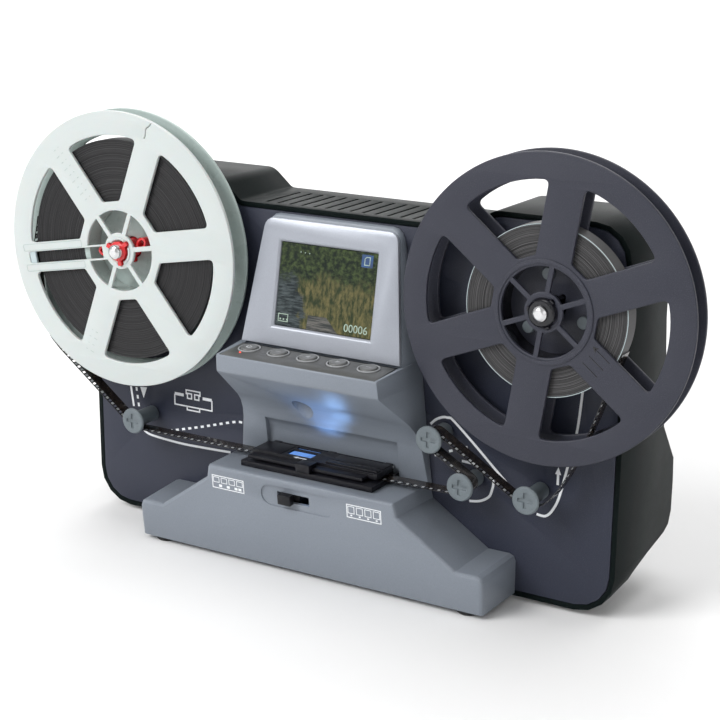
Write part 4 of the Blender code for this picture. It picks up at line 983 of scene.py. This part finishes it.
class SCANNER_OT_film(bpy.types.Operator):
    """Builds both rolls of film and the perforated film between them"""

    bl_idname = "scanner.film"
    bl_label = "Film"

    def execute(self, context):
        self.roll("supply", SUPPLY_AT, 1)
        self.roll("takeup", TAKEUP_AT, 7)
        self.ribbon(context.scene.scanner_film)
        return {"FINISHED"}

    def roll(self, side, at, seed):
        low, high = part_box(side + "_film_pack")
        outer = (high.x - low.x) / 2
        inner = 0.0222
        count = round((outer - inner) / 0.00055)
        front, back = [], []
        for k in range(count + 1):
            r = inner + (outer - inner) * k / count
            dip = 0.00012 * (1 + math.sin(k * 2.399 + seed)) + 0.00010 * (1 + math.sin(k * 0.71 * seed))
            front.append((r, low.y + dip))
            back.append((r, high.y - dip))
        shape = bmesh.new()
        lathe(shape, front + list(reversed(back)), (at.x, at.z), 144)
        obj = finished(side + "_film_roll", shape, "film", side + "_reel", 50.0, (side + "_film_pack",))
        dark, light = ROLL_TONES[side]
        obj.data.materials[0] = wound_film(side + "_roll_finish", (at.x, at.z), dark, light)
        if side == "takeup":
            leader = oblong(outer - 0.00035, low.y - 0.00008, outer - 0.0001, low.y + 0.0002)
            lathed("takeup_roll_edge", leader, (at.x, at.z), "clear_block", "takeup_reel", 144)

    def centre_line(self):
        """The film's middle line, read from the edge of its CAD ribbon."""
        low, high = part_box("film_strip")
        shape = cad_shape("film_strip")
        shape.verts.ensure_lookup_table()
        ring = {}
        for edge in shape.edges:
            a, b = edge.verts
            if max(a.co.y, b.co.y) > low.y + 1e-5:
                continue
            depths = [[v.co.y for v in face.verts] for face in edge.link_faces]
            if any(min(ys) < low.y + 1e-5 < max(ys) for ys in depths):
                ring.setdefault(a.index, []).append(b.index)
                ring.setdefault(b.index, []).append(a.index)
        start = next(iter(ring))
        walk, previous = [start], None
        while True:
            onward = [i for i in ring[walk[-1]] if i != previous]
            previous = walk[-1]
            if not onward or onward[0] == start:
                break
            walk.append(onward[0])
        points = [Vector((shape.verts[i].co.x, shape.verts[i].co.z)) for i in walk]
        shape.free()
        count = len(points)
        spans = [(points[i] - points[(i + 1) % count]).length for i in range(count)]
        short = sorted(range(count), key=lambda i: spans[i])
        first = short[0]
        second = min(short[1:4], key=lambda i: abs(((i - first) % count) - count / 2))
        one = [points[(first + 1 + k) % count] for k in range((second - first) % count)]
        other = [points[(first - k) % count] for k in range((first - second) % count)]
        fine, spread = resampled(one, 0.0005), resampled(other, 0.0005)
        line = []
        for point in fine:
            nearest = min(spread, key=lambda q: (q - point).length_squared)
            line.append((point + nearest) / 2)
        if line[0].x > line[-1].x:
            line.reverse()
        return line

    def ribbon(self, sizes):
        """The film between the reels: a thin sheet on edge, open at each perforation."""
        low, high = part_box("film_strip")
        line, width, half = self.centre_line(), high.y - low.y, sizes.thickness / 2
        pitch, hole = sizes.frame_pitch, sizes.hole_length
        bridge_step = (pitch - hole) / 3
        stops, k = [], 0
        while (k + 1) * pitch < run_lengths(line)[-1]:
            for part in (0.0, hole / 2, hole, hole + bridge_step, hole + 2 * bridge_step):
                stops.append((k * pitch + part, part < hole))
            k += 1
        spots = points_at(line, [stop for stop, _ in stops])
        margin = 0.00055
        rows = (low.y, low.y + margin, low.y + margin + sizes.hole_width, low.y + 0.62 * width, high.y)
        shape = bmesh.new()
        layer = shape.loops.layers.uv.new("film")
        grid = []
        for i, spot in enumerate(spots):
            heading = (spots[min(i + 1, len(spots) - 1)] - spots[max(i - 1, 0)]).normalized()
            side = Vector((-heading.y, heading.x)) * half
            faces = [spot + side * s for s in (1, -1)]
            grid.append([[shape.verts.new((place.x, y, place.y)) for y in rows] for place in faces])

        def face(*corners):
            """A face from (stop, side, row) corners, mapped by their places along and across the film."""
            made = shape.faces.new([grid[i][s][r] for i, s, r in corners])
            for loop, (i, _, r) in zip(made.loops, corners):
                loop[layer].uv = (stops[i][0] / pitch, (rows[r] - low.y) / width)

        cells, strips = len(spots) - 1, len(rows) - 1
        is_open = [[stops[i][1] and r == 1 for r in range(strips)] for i in range(cells)]
        for i in range(cells):
            for r in range(strips):
                if is_open[i][r]:
                    continue
                for s in (0, 1):
                    face((i, s, r), (i + 1, s, r), (i + 1, s, r + 1), (i, s, r + 1))
                for row, beside in ((r, r - 1), (r + 1, r + 1)):
                    if beside in (-1, strips) or is_open[i][beside]:
                        face((i, 0, row), (i + 1, 0, row), (i + 1, 1, row), (i, 1, row))
                for stop, beside in ((i, i - 1), (i + 1, i + 1)):
                    if beside in (-1, cells) or is_open[beside][r]:
                        face((stop, 0, r), (stop, 0, r + 1), (stop, 1, r + 1), (stop, 1, r))
        finished("film_between_reels", shape, "film", ROOT, 40.0, ("film_strip",))


# ---------------------------------------------------------------- housings
class SCANNER_OT_housings(bpy.types.Operator):
    """Builds the shell, front panel, base, screen housing and feet"""

    bl_idname = "scanner.housings"
    bl_label = "Housings"

    def execute(self, context):
        sizes = context.scene.scanner_housings
        soft_copy("rear_shell", sizes.shell_edge, "shell", over=30.0)
        soft_copy("front_panel", 0.0004, "panel", over=40.0)
        soft_copy("base_housing", sizes.base_edge, "housing", over=20.0)
        soft_copy("monitor_housing", 0.0004, "housing", over=30.0)
        soft_copy("screen_bezel", 0.0004, "bezel", over=30.0)
        soft_copy("button_plate", 0.0003, "strip", over=40.0)
        for node in ("front_foot_left", "front_foot_right", "rear_foot_left", "rear_foot_right"):
            repaint(node, "rubber")
        repaint("base_floor", "housing")
        repaint("usb_port", "plain_steel")
        repaint("card_slot", "black_plastic")
        repaint("dc_inlet", "black_plastic")
        return {"FINISHED"}


# ---------------------------------------------------------------- screen
class SCANNER_OT_screen(bpy.types.Operator):
    """Lights the screen and adds its counter and marks"""

    bl_idname = "scanner.screen"
    bl_label = "Screen"

    def execute(self, context):
        repaint("screen_window", "screen")
        repaint("lcd_module", "black_plastic")
        face = Matrix.Translation(BEZEL_FOOT) @ Matrix.Rotation(-BEZEL_LEAN, 4, "X")
        text = bpy.data.curves.new("counter", "FONT")
        text.body = context.scene.scanner_screen.counter
        text.size, text.extrude, text.align_x = 0.0048, 0.00004, "RIGHT"
        mesh = mesh_of("counter", text)
        mesh.transform(face @ Matrix.Translation((0.0228, 0.00090, 0.01145)) @ STAND_UP)
        shape = bmesh.new()
        shape.from_mesh(mesh)
        finished("counter_digits", shape, "counter_digit", ROOT)
        icon = rounded(oblong(0.0166, 0.0398, 0.0222, 0.0452), [0.0004] * 4, 3)
        flat_print("screen_card_icon", [icon], 0.00094, 0.00004, "screen_icon", ROOT, face)
        card = [(0.0182, 0.0408), (0.0207, 0.0408), (0.0207, 0.0442), (0.0190, 0.0442), (0.0182, 0.0434)]
        marks = [(card, 0.00035, True), (oblong(-0.0226, 0.0117, -0.0178, 0.0149), 0.00035, True)]
        for k in range(3):
            x = -0.0219 + 0.0017 * k
            marks.append(oblong(x, 0.0123, x + 0.0007, 0.0130))
            marks.append(circle((-0.0140 + 0.0022 * k, 0.0427 - 0.0001 * k), 0.00028, 10))
        flat_print("screen_marks", marks, 0.00089, 0.00004, "counter_digit", ROOT, face)
        return {"FINISHED"}


# ---------------------------------------------------------------- buttons
CAP_TOP = -0.00078
CAP = (
    (0, -0.0008), (0.0026, CAP_TOP), (0.0033, -0.0009), (0.0037, -0.0007),
    (0.0039, -0.0003), (0.0039, 0.0019), (0, 0.0019),
)
RIM = ((0.0043, 0.00005), (0.0044, -0.0003), (0.0047, -0.00045), (0.0050, -0.0003), (0.0051, 0.00005))
LED = ((0, -0.00035), (0.0003, -0.00028), (0.0005, 0.0), (0.0005, 0.0003), (0, 0.0003))


class SCANNER_OT_buttons(bpy.types.Operator):
    """Builds the five buttons with their rings and marks"""

    bl_idname = "scanner.buttons"
    bl_label = "Buttons"

    def execute(self, context):
        face = Matrix.Translation(BEZEL_FOOT) @ Matrix.Rotation(STRIP_TILT, 4, "X") @ LAY_FLAT
        arc = [tuple(polar(0.0011, math.radians(130 + 280 * k / 14))) for k in range(15)]
        dash = [oblong(-0.0013, -0.0002, 0.0013, 0.0002)]
        marks = {
            "power": [(arc, 0.0003, False), ([(0.0, 0.0004), (0.0, 0.0014)], 0.0003, False)],
            "menu": dash,
            "left": [[(0.0009, -0.0012), (0.0009, 0.0012), (-0.0012, 0.0)]],
            "right": [[(-0.0009, 0.0012), (-0.0009, -0.0012), (0.0012, 0.0)]],
            "enter": dash,
        }
        rings, led = bmesh.new(), bmesh.new()
        for name, outlines in marks.items():
            node = "button_" + name
            body, slot, x = node + "_body", slot_of(node), middle(node).x
            cap = bmesh.new()
            lathe(cap, CAP, (x, -BUTTON_IN), 40)
            bmesh.ops.transform(cap, matrix=face, verts=cap.verts)
            finished(node + "_cap", cap, "button", body, 40.0, (node,))
            place = face @ Matrix.Translation((x, 0.0, -BUTTON_IN))
            # Four buttons' marks are printed in the pale ring grey.
            look = "white_print" if name == "power" else "button_ring"
            flat_print(node + "_mark", outlines, CAP_TOP, 0.00006, look, body, place)
            lathe(rings, RIM, (x, -BUTTON_IN), 44)
        lathe(led, LED, (middle("button_power").x - 0.0006, -0.0127), 16)
        # The rings' pale grey is a painted highlight on their raised rims.
        for name, shape, material in (("button_rings", rings, "button_ring"), ("power_led", led, "red_led")):
            bmesh.ops.transform(shape, matrix=face, verts=shape.verts)
            finished(name, shape, material, ROOT)
        return {"FINISHED"}


# ---------------------------------------------------------------- gate
class SCANNER_OT_gate(bpy.types.Operator):
    """Builds the film gate with its lid, latch, light and slider"""

    bl_idname = "scanner.gate"
    bl_label = "Film Gate"

    def execute(self, context):
        for node, body in (("gate_base", ROOT), ("gate_lid", "lid"), ("gate_latch", "latch")):
            soft_copy(node, 0.00018, "gate", body, over=50.0)
        soft_copy("format_slider", 0.0003, "black_plastic", "slider", over=50.0)
        repaint("gate_diffuser", "blue_light")
        repaint("gate_hinge_pin", "plain_steel")
        repaint("backlight_board", "white_board")
        repaint("camera_module", "black_plastic")
        self.lit_pieces()
        self.lid_details()
        return {"FINISHED"}

    def lit_pieces(self):
        """The lit film frame in the gate, and the frosted panes in the lid's two windows."""
        low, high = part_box("gate_diffuser")
        inset, level = 0.0004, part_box("gate_base")[0].z + 0.0025
        lit = ((low.x + inset, low.y + inset, level), (high.x - inset, high.y - inset, level + 0.0001), 0.00003)
        soft_boxes("lit_film_frame", [lit], "lit_film_frame", ROOT, 1)
        level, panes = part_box("gate_lid")[1].z - 0.0010, []
        for front, back in ((-0.0160, -0.0096), (-0.0080, -0.0058)):
            near, far = PANEL_Y + front + 0.0003, PANEL_Y + back - 0.0003
            panes.append(((-0.0157, near, level), (-0.0035, far, level + 0.0004), 0.0001))
        soft_boxes("gate_lid_panes", panes, "frosted_pane", "lid", 1)

    def lid_details(self):
        """Ribs, knuckles and the printed arrow on the lid."""
        front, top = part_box("gate_lid")[0].y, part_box("gate_lid")[1].z
        back = middle("gate_hinge_pin").y - 0.0019
        ribs = (
            ((0.0055, front + 0.0058, top - 0.0004), (0.0315, front + 0.0092, top + 0.0008), 0.0003),
            ((0.0036, front + 0.0044, top - 0.0006), (0.0302, front + 0.0060, top + 0.0001), 0.0002),
            ((0.0060, front + 0.0108, top - 0.0004), (0.0318, back - 0.0005, top + 0.0004), 0.0002),
            ((-0.0322, front + 0.0048, top - 0.0004), (-0.0175, back - 0.0005, top + 0.00025), 0.0002),
        )
        soft_boxes("gate_lid_ribs", ribs, "gate", "lid")
        knuckles = []
        for x in (-0.0295, -0.0100, 0.0012, 0.0190, 0.0300):
            near, far = (x - 0.0011, back - 0.0002, top - 0.0022), (x + 0.0011, back + 0.0012, top - 0.0002)
            knuckles.append((near, far, 0.0002))
        soft_boxes("gate_lid_knuckles", knuckles, "gate", "lid")
        arrow = [
            (-0.0105, 0.0), (-0.0085, 0.0011), (-0.0085, 0.0004), (-0.0038, 0.0004),
            (-0.0038, -0.0004), (-0.0085, -0.0004), (-0.0085, -0.0011),
        ]
        place = Matrix.Translation((0, front + 0.0051, top)) @ LAY_FLAT
        flat_print("gate_arrow", [arrow], 0.0, 0.00006, "white_print", "lid", place)


# ---------------------------------------------------------------- rollers
class SCANNER_OT_rollers(bpy.types.Operator):
    """Finishes the four guide rollers and their pins"""

    bl_idname = "scanner.rollers"
    bl_label = "Guide Rollers"

    def execute(self, context):
        for number in range(1, 5):
            soft_copy("roller_%d" % number, 0.00035, "roller", "roller_body_%d" % number, over=50.0, sharp=30.0)
            repaint("roller_pin_%d" % number, "plain_steel")
        return {"FINISHED"}


# ---------------------------------------------------------------- printed marks
def in_metres(points):
    return [(x * MM, z * MM) for x, z in points]


class SCANNER_OT_markings(bpy.types.Operator):
    """Prints the threading lines and the pictograms"""

    bl_idname = "scanner.markings"
    bl_label = "Printed Marks"

    def execute(self, context):
        width = context.scene.scanner_marks.line_width
        # The lines follow the film's way past the rollers, in millimetres on the panel.
        solid = (
            [(-115.6, 63.1), (-114.2, 53.3)],
            [(-108.5, 42.2), (-103.8, 40.5), (-87.1, 39.4), (-72.5, 39.6), (-57.8, 40.1)],
            [
                (47.8, 72.2), (50.4, 74.7), (53.7, 76.3), (56.2, 76.4),
                (58.6, 75.8), (69.4, 66.5), (79.2, 57.6), (87.9, 49.9),
            ],
            [
                (63.4, 58.3), (68.7, 58.1), (72.8, 57.8), (76.4, 55.3), (78.6, 51.8),
                (78.1, 47.9), (76.7, 44.5), (72.6, 41.9), (67.5, 40.9),
            ],
            [
                (99.3, 41.4), (101.3, 41.1), (103.6, 41.4), (106.2, 44.1),
                (109.1, 50.5), (112.4, 64.7), (115.8, 80.5), (117.5, 98.7),
            ],
        )
        dashed = (
            [(-112.3, 63.1), (-110.9, 52.3)],
            [(-93.0, 44.6), (-75.1, 49.5), (-55.2, 55.4), (-50.0, 55.6)],
            [(50.1, 58.5), (57.5, 61.7), (66.3, 65.1)],
        )
        pointers = (
            [(-108.1, 58.4), (-110.0, 63.6), (-105.9, 64.0)],
            [(108.3, 63.8), (109.7, 60.6), (106.9, 60.6)],
        )
        outlines = [(curve_points(in_metres(run), 0.0008), width, False) for run in solid]
        for run in dashed:
            outlines += dashes(in_metres(run), 0.0022, 0.0016, width)
        outlines += [in_metres(run) for run in pointers]
        outlines.append((in_metres([(108.3, 60.6), (108.3, 56.0)]), width, False))
        outlines += self.gate_diagram(width * 0.6)
        flat_print("panel_print", outlines, PANEL_Y, 0.00006, "white_print", ROOT)
        self.film_pictograms()
        return {"FINISHED"}

    def gate_diagram(self, width):
        """A small drawing of the film gate: a tray with two openings and two tabs."""
        left, right, low, high = -0.0895, -0.0680, 0.0585, 0.0655
        centre = (left + right) / 2
        found = [(bridge(left, right, high - 0.0020, low), width, False)]
        for sign in (-1, 1):
            bar = [(centre + sign * 0.0107, high - 0.0018), (centre + sign * 0.0055, high - 0.0018)]
            found.append((bar, width * 2.2, False))
            x = centre + sign * 0.0021
            found.append((oblong(x - 0.0012, high - 0.0030, x + 0.0012, high - 0.0006), width, True))
        found.append((bridge(centre - 0.0040, centre + 0.0040, high - 0.0012, high + 0.0010), width, False))
        found.append((bridge(centre - 0.0036, centre + 0.0036, low, low - 0.0017), width, False))
        return found

    def film_pictograms(self):
        """Two drawings of film, one with large holes and small pictures, one the other way round."""
        width, height, z0, count = 0.0168, 0.0060, 0.0352, 4
        slope = Matrix.Rotation(math.atan(0.115), 4, "X")
        place = Matrix.Translation((0, PANEL_Y - 0.0272, 0.0023)) @ slope @ Matrix.Translation((0, 0, -0.0023))
        # The large holes stand between the pictures, the small ones under them.
        for name, x0, hole, picture, aside in (
            ("small_frame", -0.0455, 0.0016, 0.0024, width / 8), ("large_frame", 0.0250, 0.0009, 0.0032, 0.0)
        ):
            marks = [(oblong(x0, z0, x0 + width, z0 + height), 0.0004, True)]
            for k in range(count):
                x = x0 + width * (k + 0.5) / count
                hole_x = x + (aside if k < count - 1 else 0.0)
                base, top = z0 + 0.0007, z0 + height - 0.0008
                marks.append(oblong(hole_x - hole / 2, base, hole_x + hole / 2, base + hole * 0.75))
                marks.append((oblong(x - 0.0015, top - picture, x + 0.0015, top), 0.0003, True))
            flat_print("pictogram_" + name, marks, -0.00002, 0.00006, "white_print", ROOT, place)


# ---------------------------------------------------------------- inner parts
class SCANNER_OT_inner_parts(bpy.types.Operator):
    """Finishes the boards, motors, gears and bearings inside"""

    bl_idname = "scanner.inner_parts"
    bl_label = "Inner Parts"

    def execute(self, context):
        repaint("main_board", "circuit_board")
        repaint("control_board", "circuit_board")
        for side in ("supply", "takeup"):
            repaint(side + "_gear", "nylon")
            repaint(side + "_pinion", "brass")
            repaint(side + "_motor", "plain_steel")
            repaint(side + "_bearing", "black_plastic")
        return {"FINISHED"}


# ---------------------------------------------------------------- stage
CAMERA_PLACE = (0.38065, -0.62831, 0.29604)
CAMERA_HEADING, CAMERA_DIP, CAMERA_ROLL = (math.radians(a) for a in (31.309, 17.199, 0.367))
CAMERA_SHIFT = (0.01494, 0.06419)
FLOOR_R, SWEEP_R, WALL_TOP = 2.2, 1.2, 4.0
LIGHT_AIM = Vector((0, 0, 0.09))
WASH_AIM = Vector((-1.7, 2.9, 0.3))


class SCANNER_OT_stage(bpy.types.Operator):
    """Sets up the floor, the soft lights and the camera"""

    bl_idname = "scanner.stage"
    bl_label = "Studio"

    def execute(self, context):
        sizes = context.scene.scanner_stage
        self.backdrop()
        self.lights(sizes)
        data = bpy.data.cameras.new("camera")
        data.sensor_width = 36.0
        data.lens = sizes.lens
        data.shift_x, data.shift_y = CAMERA_SHIFT
        data.clip_start, data.clip_end = 0.01, 20.0
        camera = bpy.data.objects.new("camera", data)
        turn = Matrix.Rotation(CAMERA_HEADING, 4, "Z") @ Matrix.Rotation(math.radians(90) - CAMERA_DIP, 4, "X")
        camera.matrix_world = Matrix.Translation(CAMERA_PLACE) @ turn @ Matrix.Rotation(CAMERA_ROLL, 4, "Z")
        bpy.context.scene.collection.objects.link(camera)
        bpy.context.scene.camera = camera
        view = context.scene.view_settings
        view.view_transform = "Standard"
        view.look = "None"
        return {"FINISHED"}

    def backdrop(self):
        """A pale floor that sweeps up far behind, the same all round."""
        shape = bmesh.new()
        profile, bends, steps = [(FLOOR_R, 0.0)], 12, 72
        for k in range(1, bends + 1):
            a = math.radians(90 * k / bends)
            profile.append((FLOOR_R + SWEEP_R * math.sin(a), SWEEP_R - SWEEP_R * math.cos(a)))
        profile.append((FLOOR_R + SWEEP_R, WALL_TOP))
        rings = [[shape.verts.new((x, y, z)) for x, y in circle((0.0, 0.0), radius, steps)] for radius, z in profile]
        shape.faces.new(rings[0])
        for first, second in zip(rings, rings[1:]):
            for k in range(steps):
                j = (k + 1) % steps
                shape.faces.new((first[k], first[j], second[j], second[k]))
        bmesh.ops.reverse_faces(shape, faces=[f for f in shape.faces if len(f.verts) == 4])
        mesh = bpy.data.meshes.new("studio_floor")
        shape.to_mesh(mesh)
        shape.free()
        made, _, shader = new_material("studio_floor_finish")
        set_sockets(shader, Base_Color=(0.80, 0.80, 0.80, 1.0), Roughness=0.9, Specular_IOR_Level=0.1)
        mesh.materials.append(made)
        obj = bpy.data.objects.new("studio_floor", mesh)
        bpy.context.scene.collection.objects.link(obj)

    def lights(self, sizes):
        world = bpy.data.worlds.new("studio_world")
        world.use_nodes = True
        set_sockets(world.node_tree.nodes["Background"], Color=(1.0, 1.0, 1.0, 1.0), Strength=sizes.world)
        bpy.context.scene.world = world
        for name, place, size, power in (
            ("key", (-0.75, -1.25, 1.15), 1.1, sizes.key),
            ("fill", (1.15, -0.95, 0.55), 0.9, sizes.fill),
            ("top", (0.10, 0.35, 1.45), 1.2, sizes.top),
            ("wash", (-0.95, 1.60, 2.10), 1.5, sizes.wash),
        ):
            data = bpy.data.lights.new(name, "AREA")
            data.shape = "DISK"
            data.size = size
            data.energy = power
            obj = bpy.data.objects.new(name, data)
            obj.location = place
            aim = WASH_AIM if name == "wash" else LIGHT_AIM
            obj.rotation_euler = (aim - Vector(place)).to_track_quat("-Z", "Y").to_euler()
            bpy.context.scene.collection.objects.link(obj)
        data = bpy.data.lights.new("gate_lamp", "AREA")
        data.shape = "RECTANGLE"
        data.size, data.size_y = 0.010, 0.014
        data.energy = sizes.gate_lamp
        data.color = (0.25, 0.50, 1.0)
        data.spread = math.radians(95)
        lamp = bpy.data.objects.new("gate_lamp", data)
        lamp.location = (-0.002, PANEL_Y - 0.0120, 0.0535)
        lamp.rotation_euler = (math.radians(180), 0, 0)
        bpy.context.scene.collection.objects.link(lamp)


# ---------------------------------------------------------------- settings and panel
def length(name, description, default):
    return FloatProperty(name=name, description=description, default=default, unit="LENGTH", precision=5)


def colour(name, description, default):
    return FloatVectorProperty(
        name=name, description=description, default=default, subtype="COLOR", size=3, min=0.0, max=1.0
    )


class ReelSettings(bpy.types.PropertyGroup):
    supply_spoke: length("Supply Spoke", "Width of the supply reel's spokes", 0.0140)
    takeup_spoke: length("Take-up Spoke", "Width of the take-up reel's spokes", 0.0155)
    rim_edge: length("Edge Radius", "Rounding of the flanges' edges", 0.0004)
    slot_width: length("Slot Width", "Width of the slot in one spoke of the supply reel", 0.0054)


class FilmSettings(bpy.types.PropertyGroup):
    frame_pitch: length("Frame Pitch", "Distance from one perforation to the next", 0.00381)
    hole_length: length("Perforation Length", "Size of a perforation along the film", 0.00127)
    hole_width: length("Perforation Width", "Size of a perforation across the film", 0.00183)
    thickness: length("Film Thickness", "Thickness of the film", 0.00018)


class HousingSettings(bpy.types.PropertyGroup):
    shell_edge: length("Shell Edge", "Rounding of the rear shell's edges", 0.0007)
    base_edge: length("Base Edge", "Rounding of the base's edges", 0.0009)


class FinishSettings(bpy.types.PropertyGroup):
    housing: colour("Housing", "Base and screen housing", (0.190, 0.214, 0.250))
    bezel: colour("Bezel", "Frame of the screen", (0.335, 0.355, 0.400))
    strip: colour("Button Strip", "Plate round the buttons", (0.068, 0.070, 0.070))
    panel: colour("Panel", "Front panel", (0.021, 0.025, 0.043))
    shell: colour("Shell", "Rear shell", (0.004, 0.007, 0.007))
    supply_reel: colour("Supply Reel", "Pale reel", (0.52, 0.560, 0.552))
    takeup_reel: colour("Take-up Reel", "Dark reel", (0.028, 0.030, 0.044))
    roller: colour("Rollers", "Guide rollers", (0.125, 0.150, 0.165))


class ScreenSettings(bpy.types.PropertyGroup):
    counter: StringProperty(name="Counter", description="Digits of the frame counter", default="00006")


class MarkSettings(bpy.types.PropertyGroup):
    line_width: length("Line Width", "Width of the printed threading lines", 0.0011)


class StageSettings(bpy.types.PropertyGroup):
    lens: FloatProperty(name="Lens", description="Focal length of the camera in millimetres", default=85.28)
    world: FloatProperty(name="World", description="Brightness of the surroundings", default=0.55)
    key: FloatProperty(name="Key Light", description="Soft light from the front left", default=27.0, unit="POWER")
    fill: FloatProperty(name="Fill Light", description="Soft light from the right", default=1.5, unit="POWER")
    top: FloatProperty(name="Top Light", description="Soft light from above and behind", default=9.0, unit="POWER")
    wash: FloatProperty(name="Backdrop Light", description="Soft light on the far backdrop", default=60.0, unit="POWER")
    gate_lamp: FloatProperty(name="Gate Lamp", description="Blue light of the film gate", default=0.0026, unit="POWER")


SETTINGS = {
    "scanner_reels": ReelSettings,
    "scanner_film": FilmSettings,
    "scanner_housings": HousingSettings,
    "scanner_finish": FinishSettings,
    "scanner_screen": ScreenSettings,
    "scanner_marks": MarkSettings,
    "scanner_stage": StageSettings,
}
OPERATORS = (
    SCANNER_OT_housings,
    SCANNER_OT_reels,
    SCANNER_OT_film,
    SCANNER_OT_screen,
    SCANNER_OT_buttons,
    SCANNER_OT_gate,
    SCANNER_OT_rollers,
    SCANNER_OT_markings,
    SCANNER_OT_inner_parts,
    SCANNER_OT_stage,
)


class SCANNER_PT_panel(bpy.types.Panel):
    bl_label = "Film Scanner"
    bl_idname = "SCANNER_PT_panel"
    bl_space_type = "VIEW_3D"
    bl_region_type = "UI"
    bl_category = "Film Scanner"

    def draw(self, context):
        for name, settings in SETTINGS.items():
            box = self.layout.box()
            for key in settings.__annotations__:
                box.prop(getattr(context.scene, name), key)
        for operator in OPERATORS:
            self.layout.operator(operator.bl_idname)


CLASSES = (*SETTINGS.values(), *OPERATORS, SCANNER_PT_panel)


def register():
    for cls in CLASSES:
        bpy.utils.register_class(cls)
    for name, settings in SETTINGS.items():
        setattr(bpy.types.Scene, name, PointerProperty(type=settings))


def unregister():
    for name in SETTINGS:
        delattr(bpy.types.Scene, name)
    for cls in reversed(CLASSES):
        bpy.utils.unregister_class(cls)


def main():
    register()
    for operator in OPERATORS:
        area, name = operator.bl_idname.split(".")
        getattr(getattr(bpy.ops, area), name)()


if __name__ == "__main__":
    main()
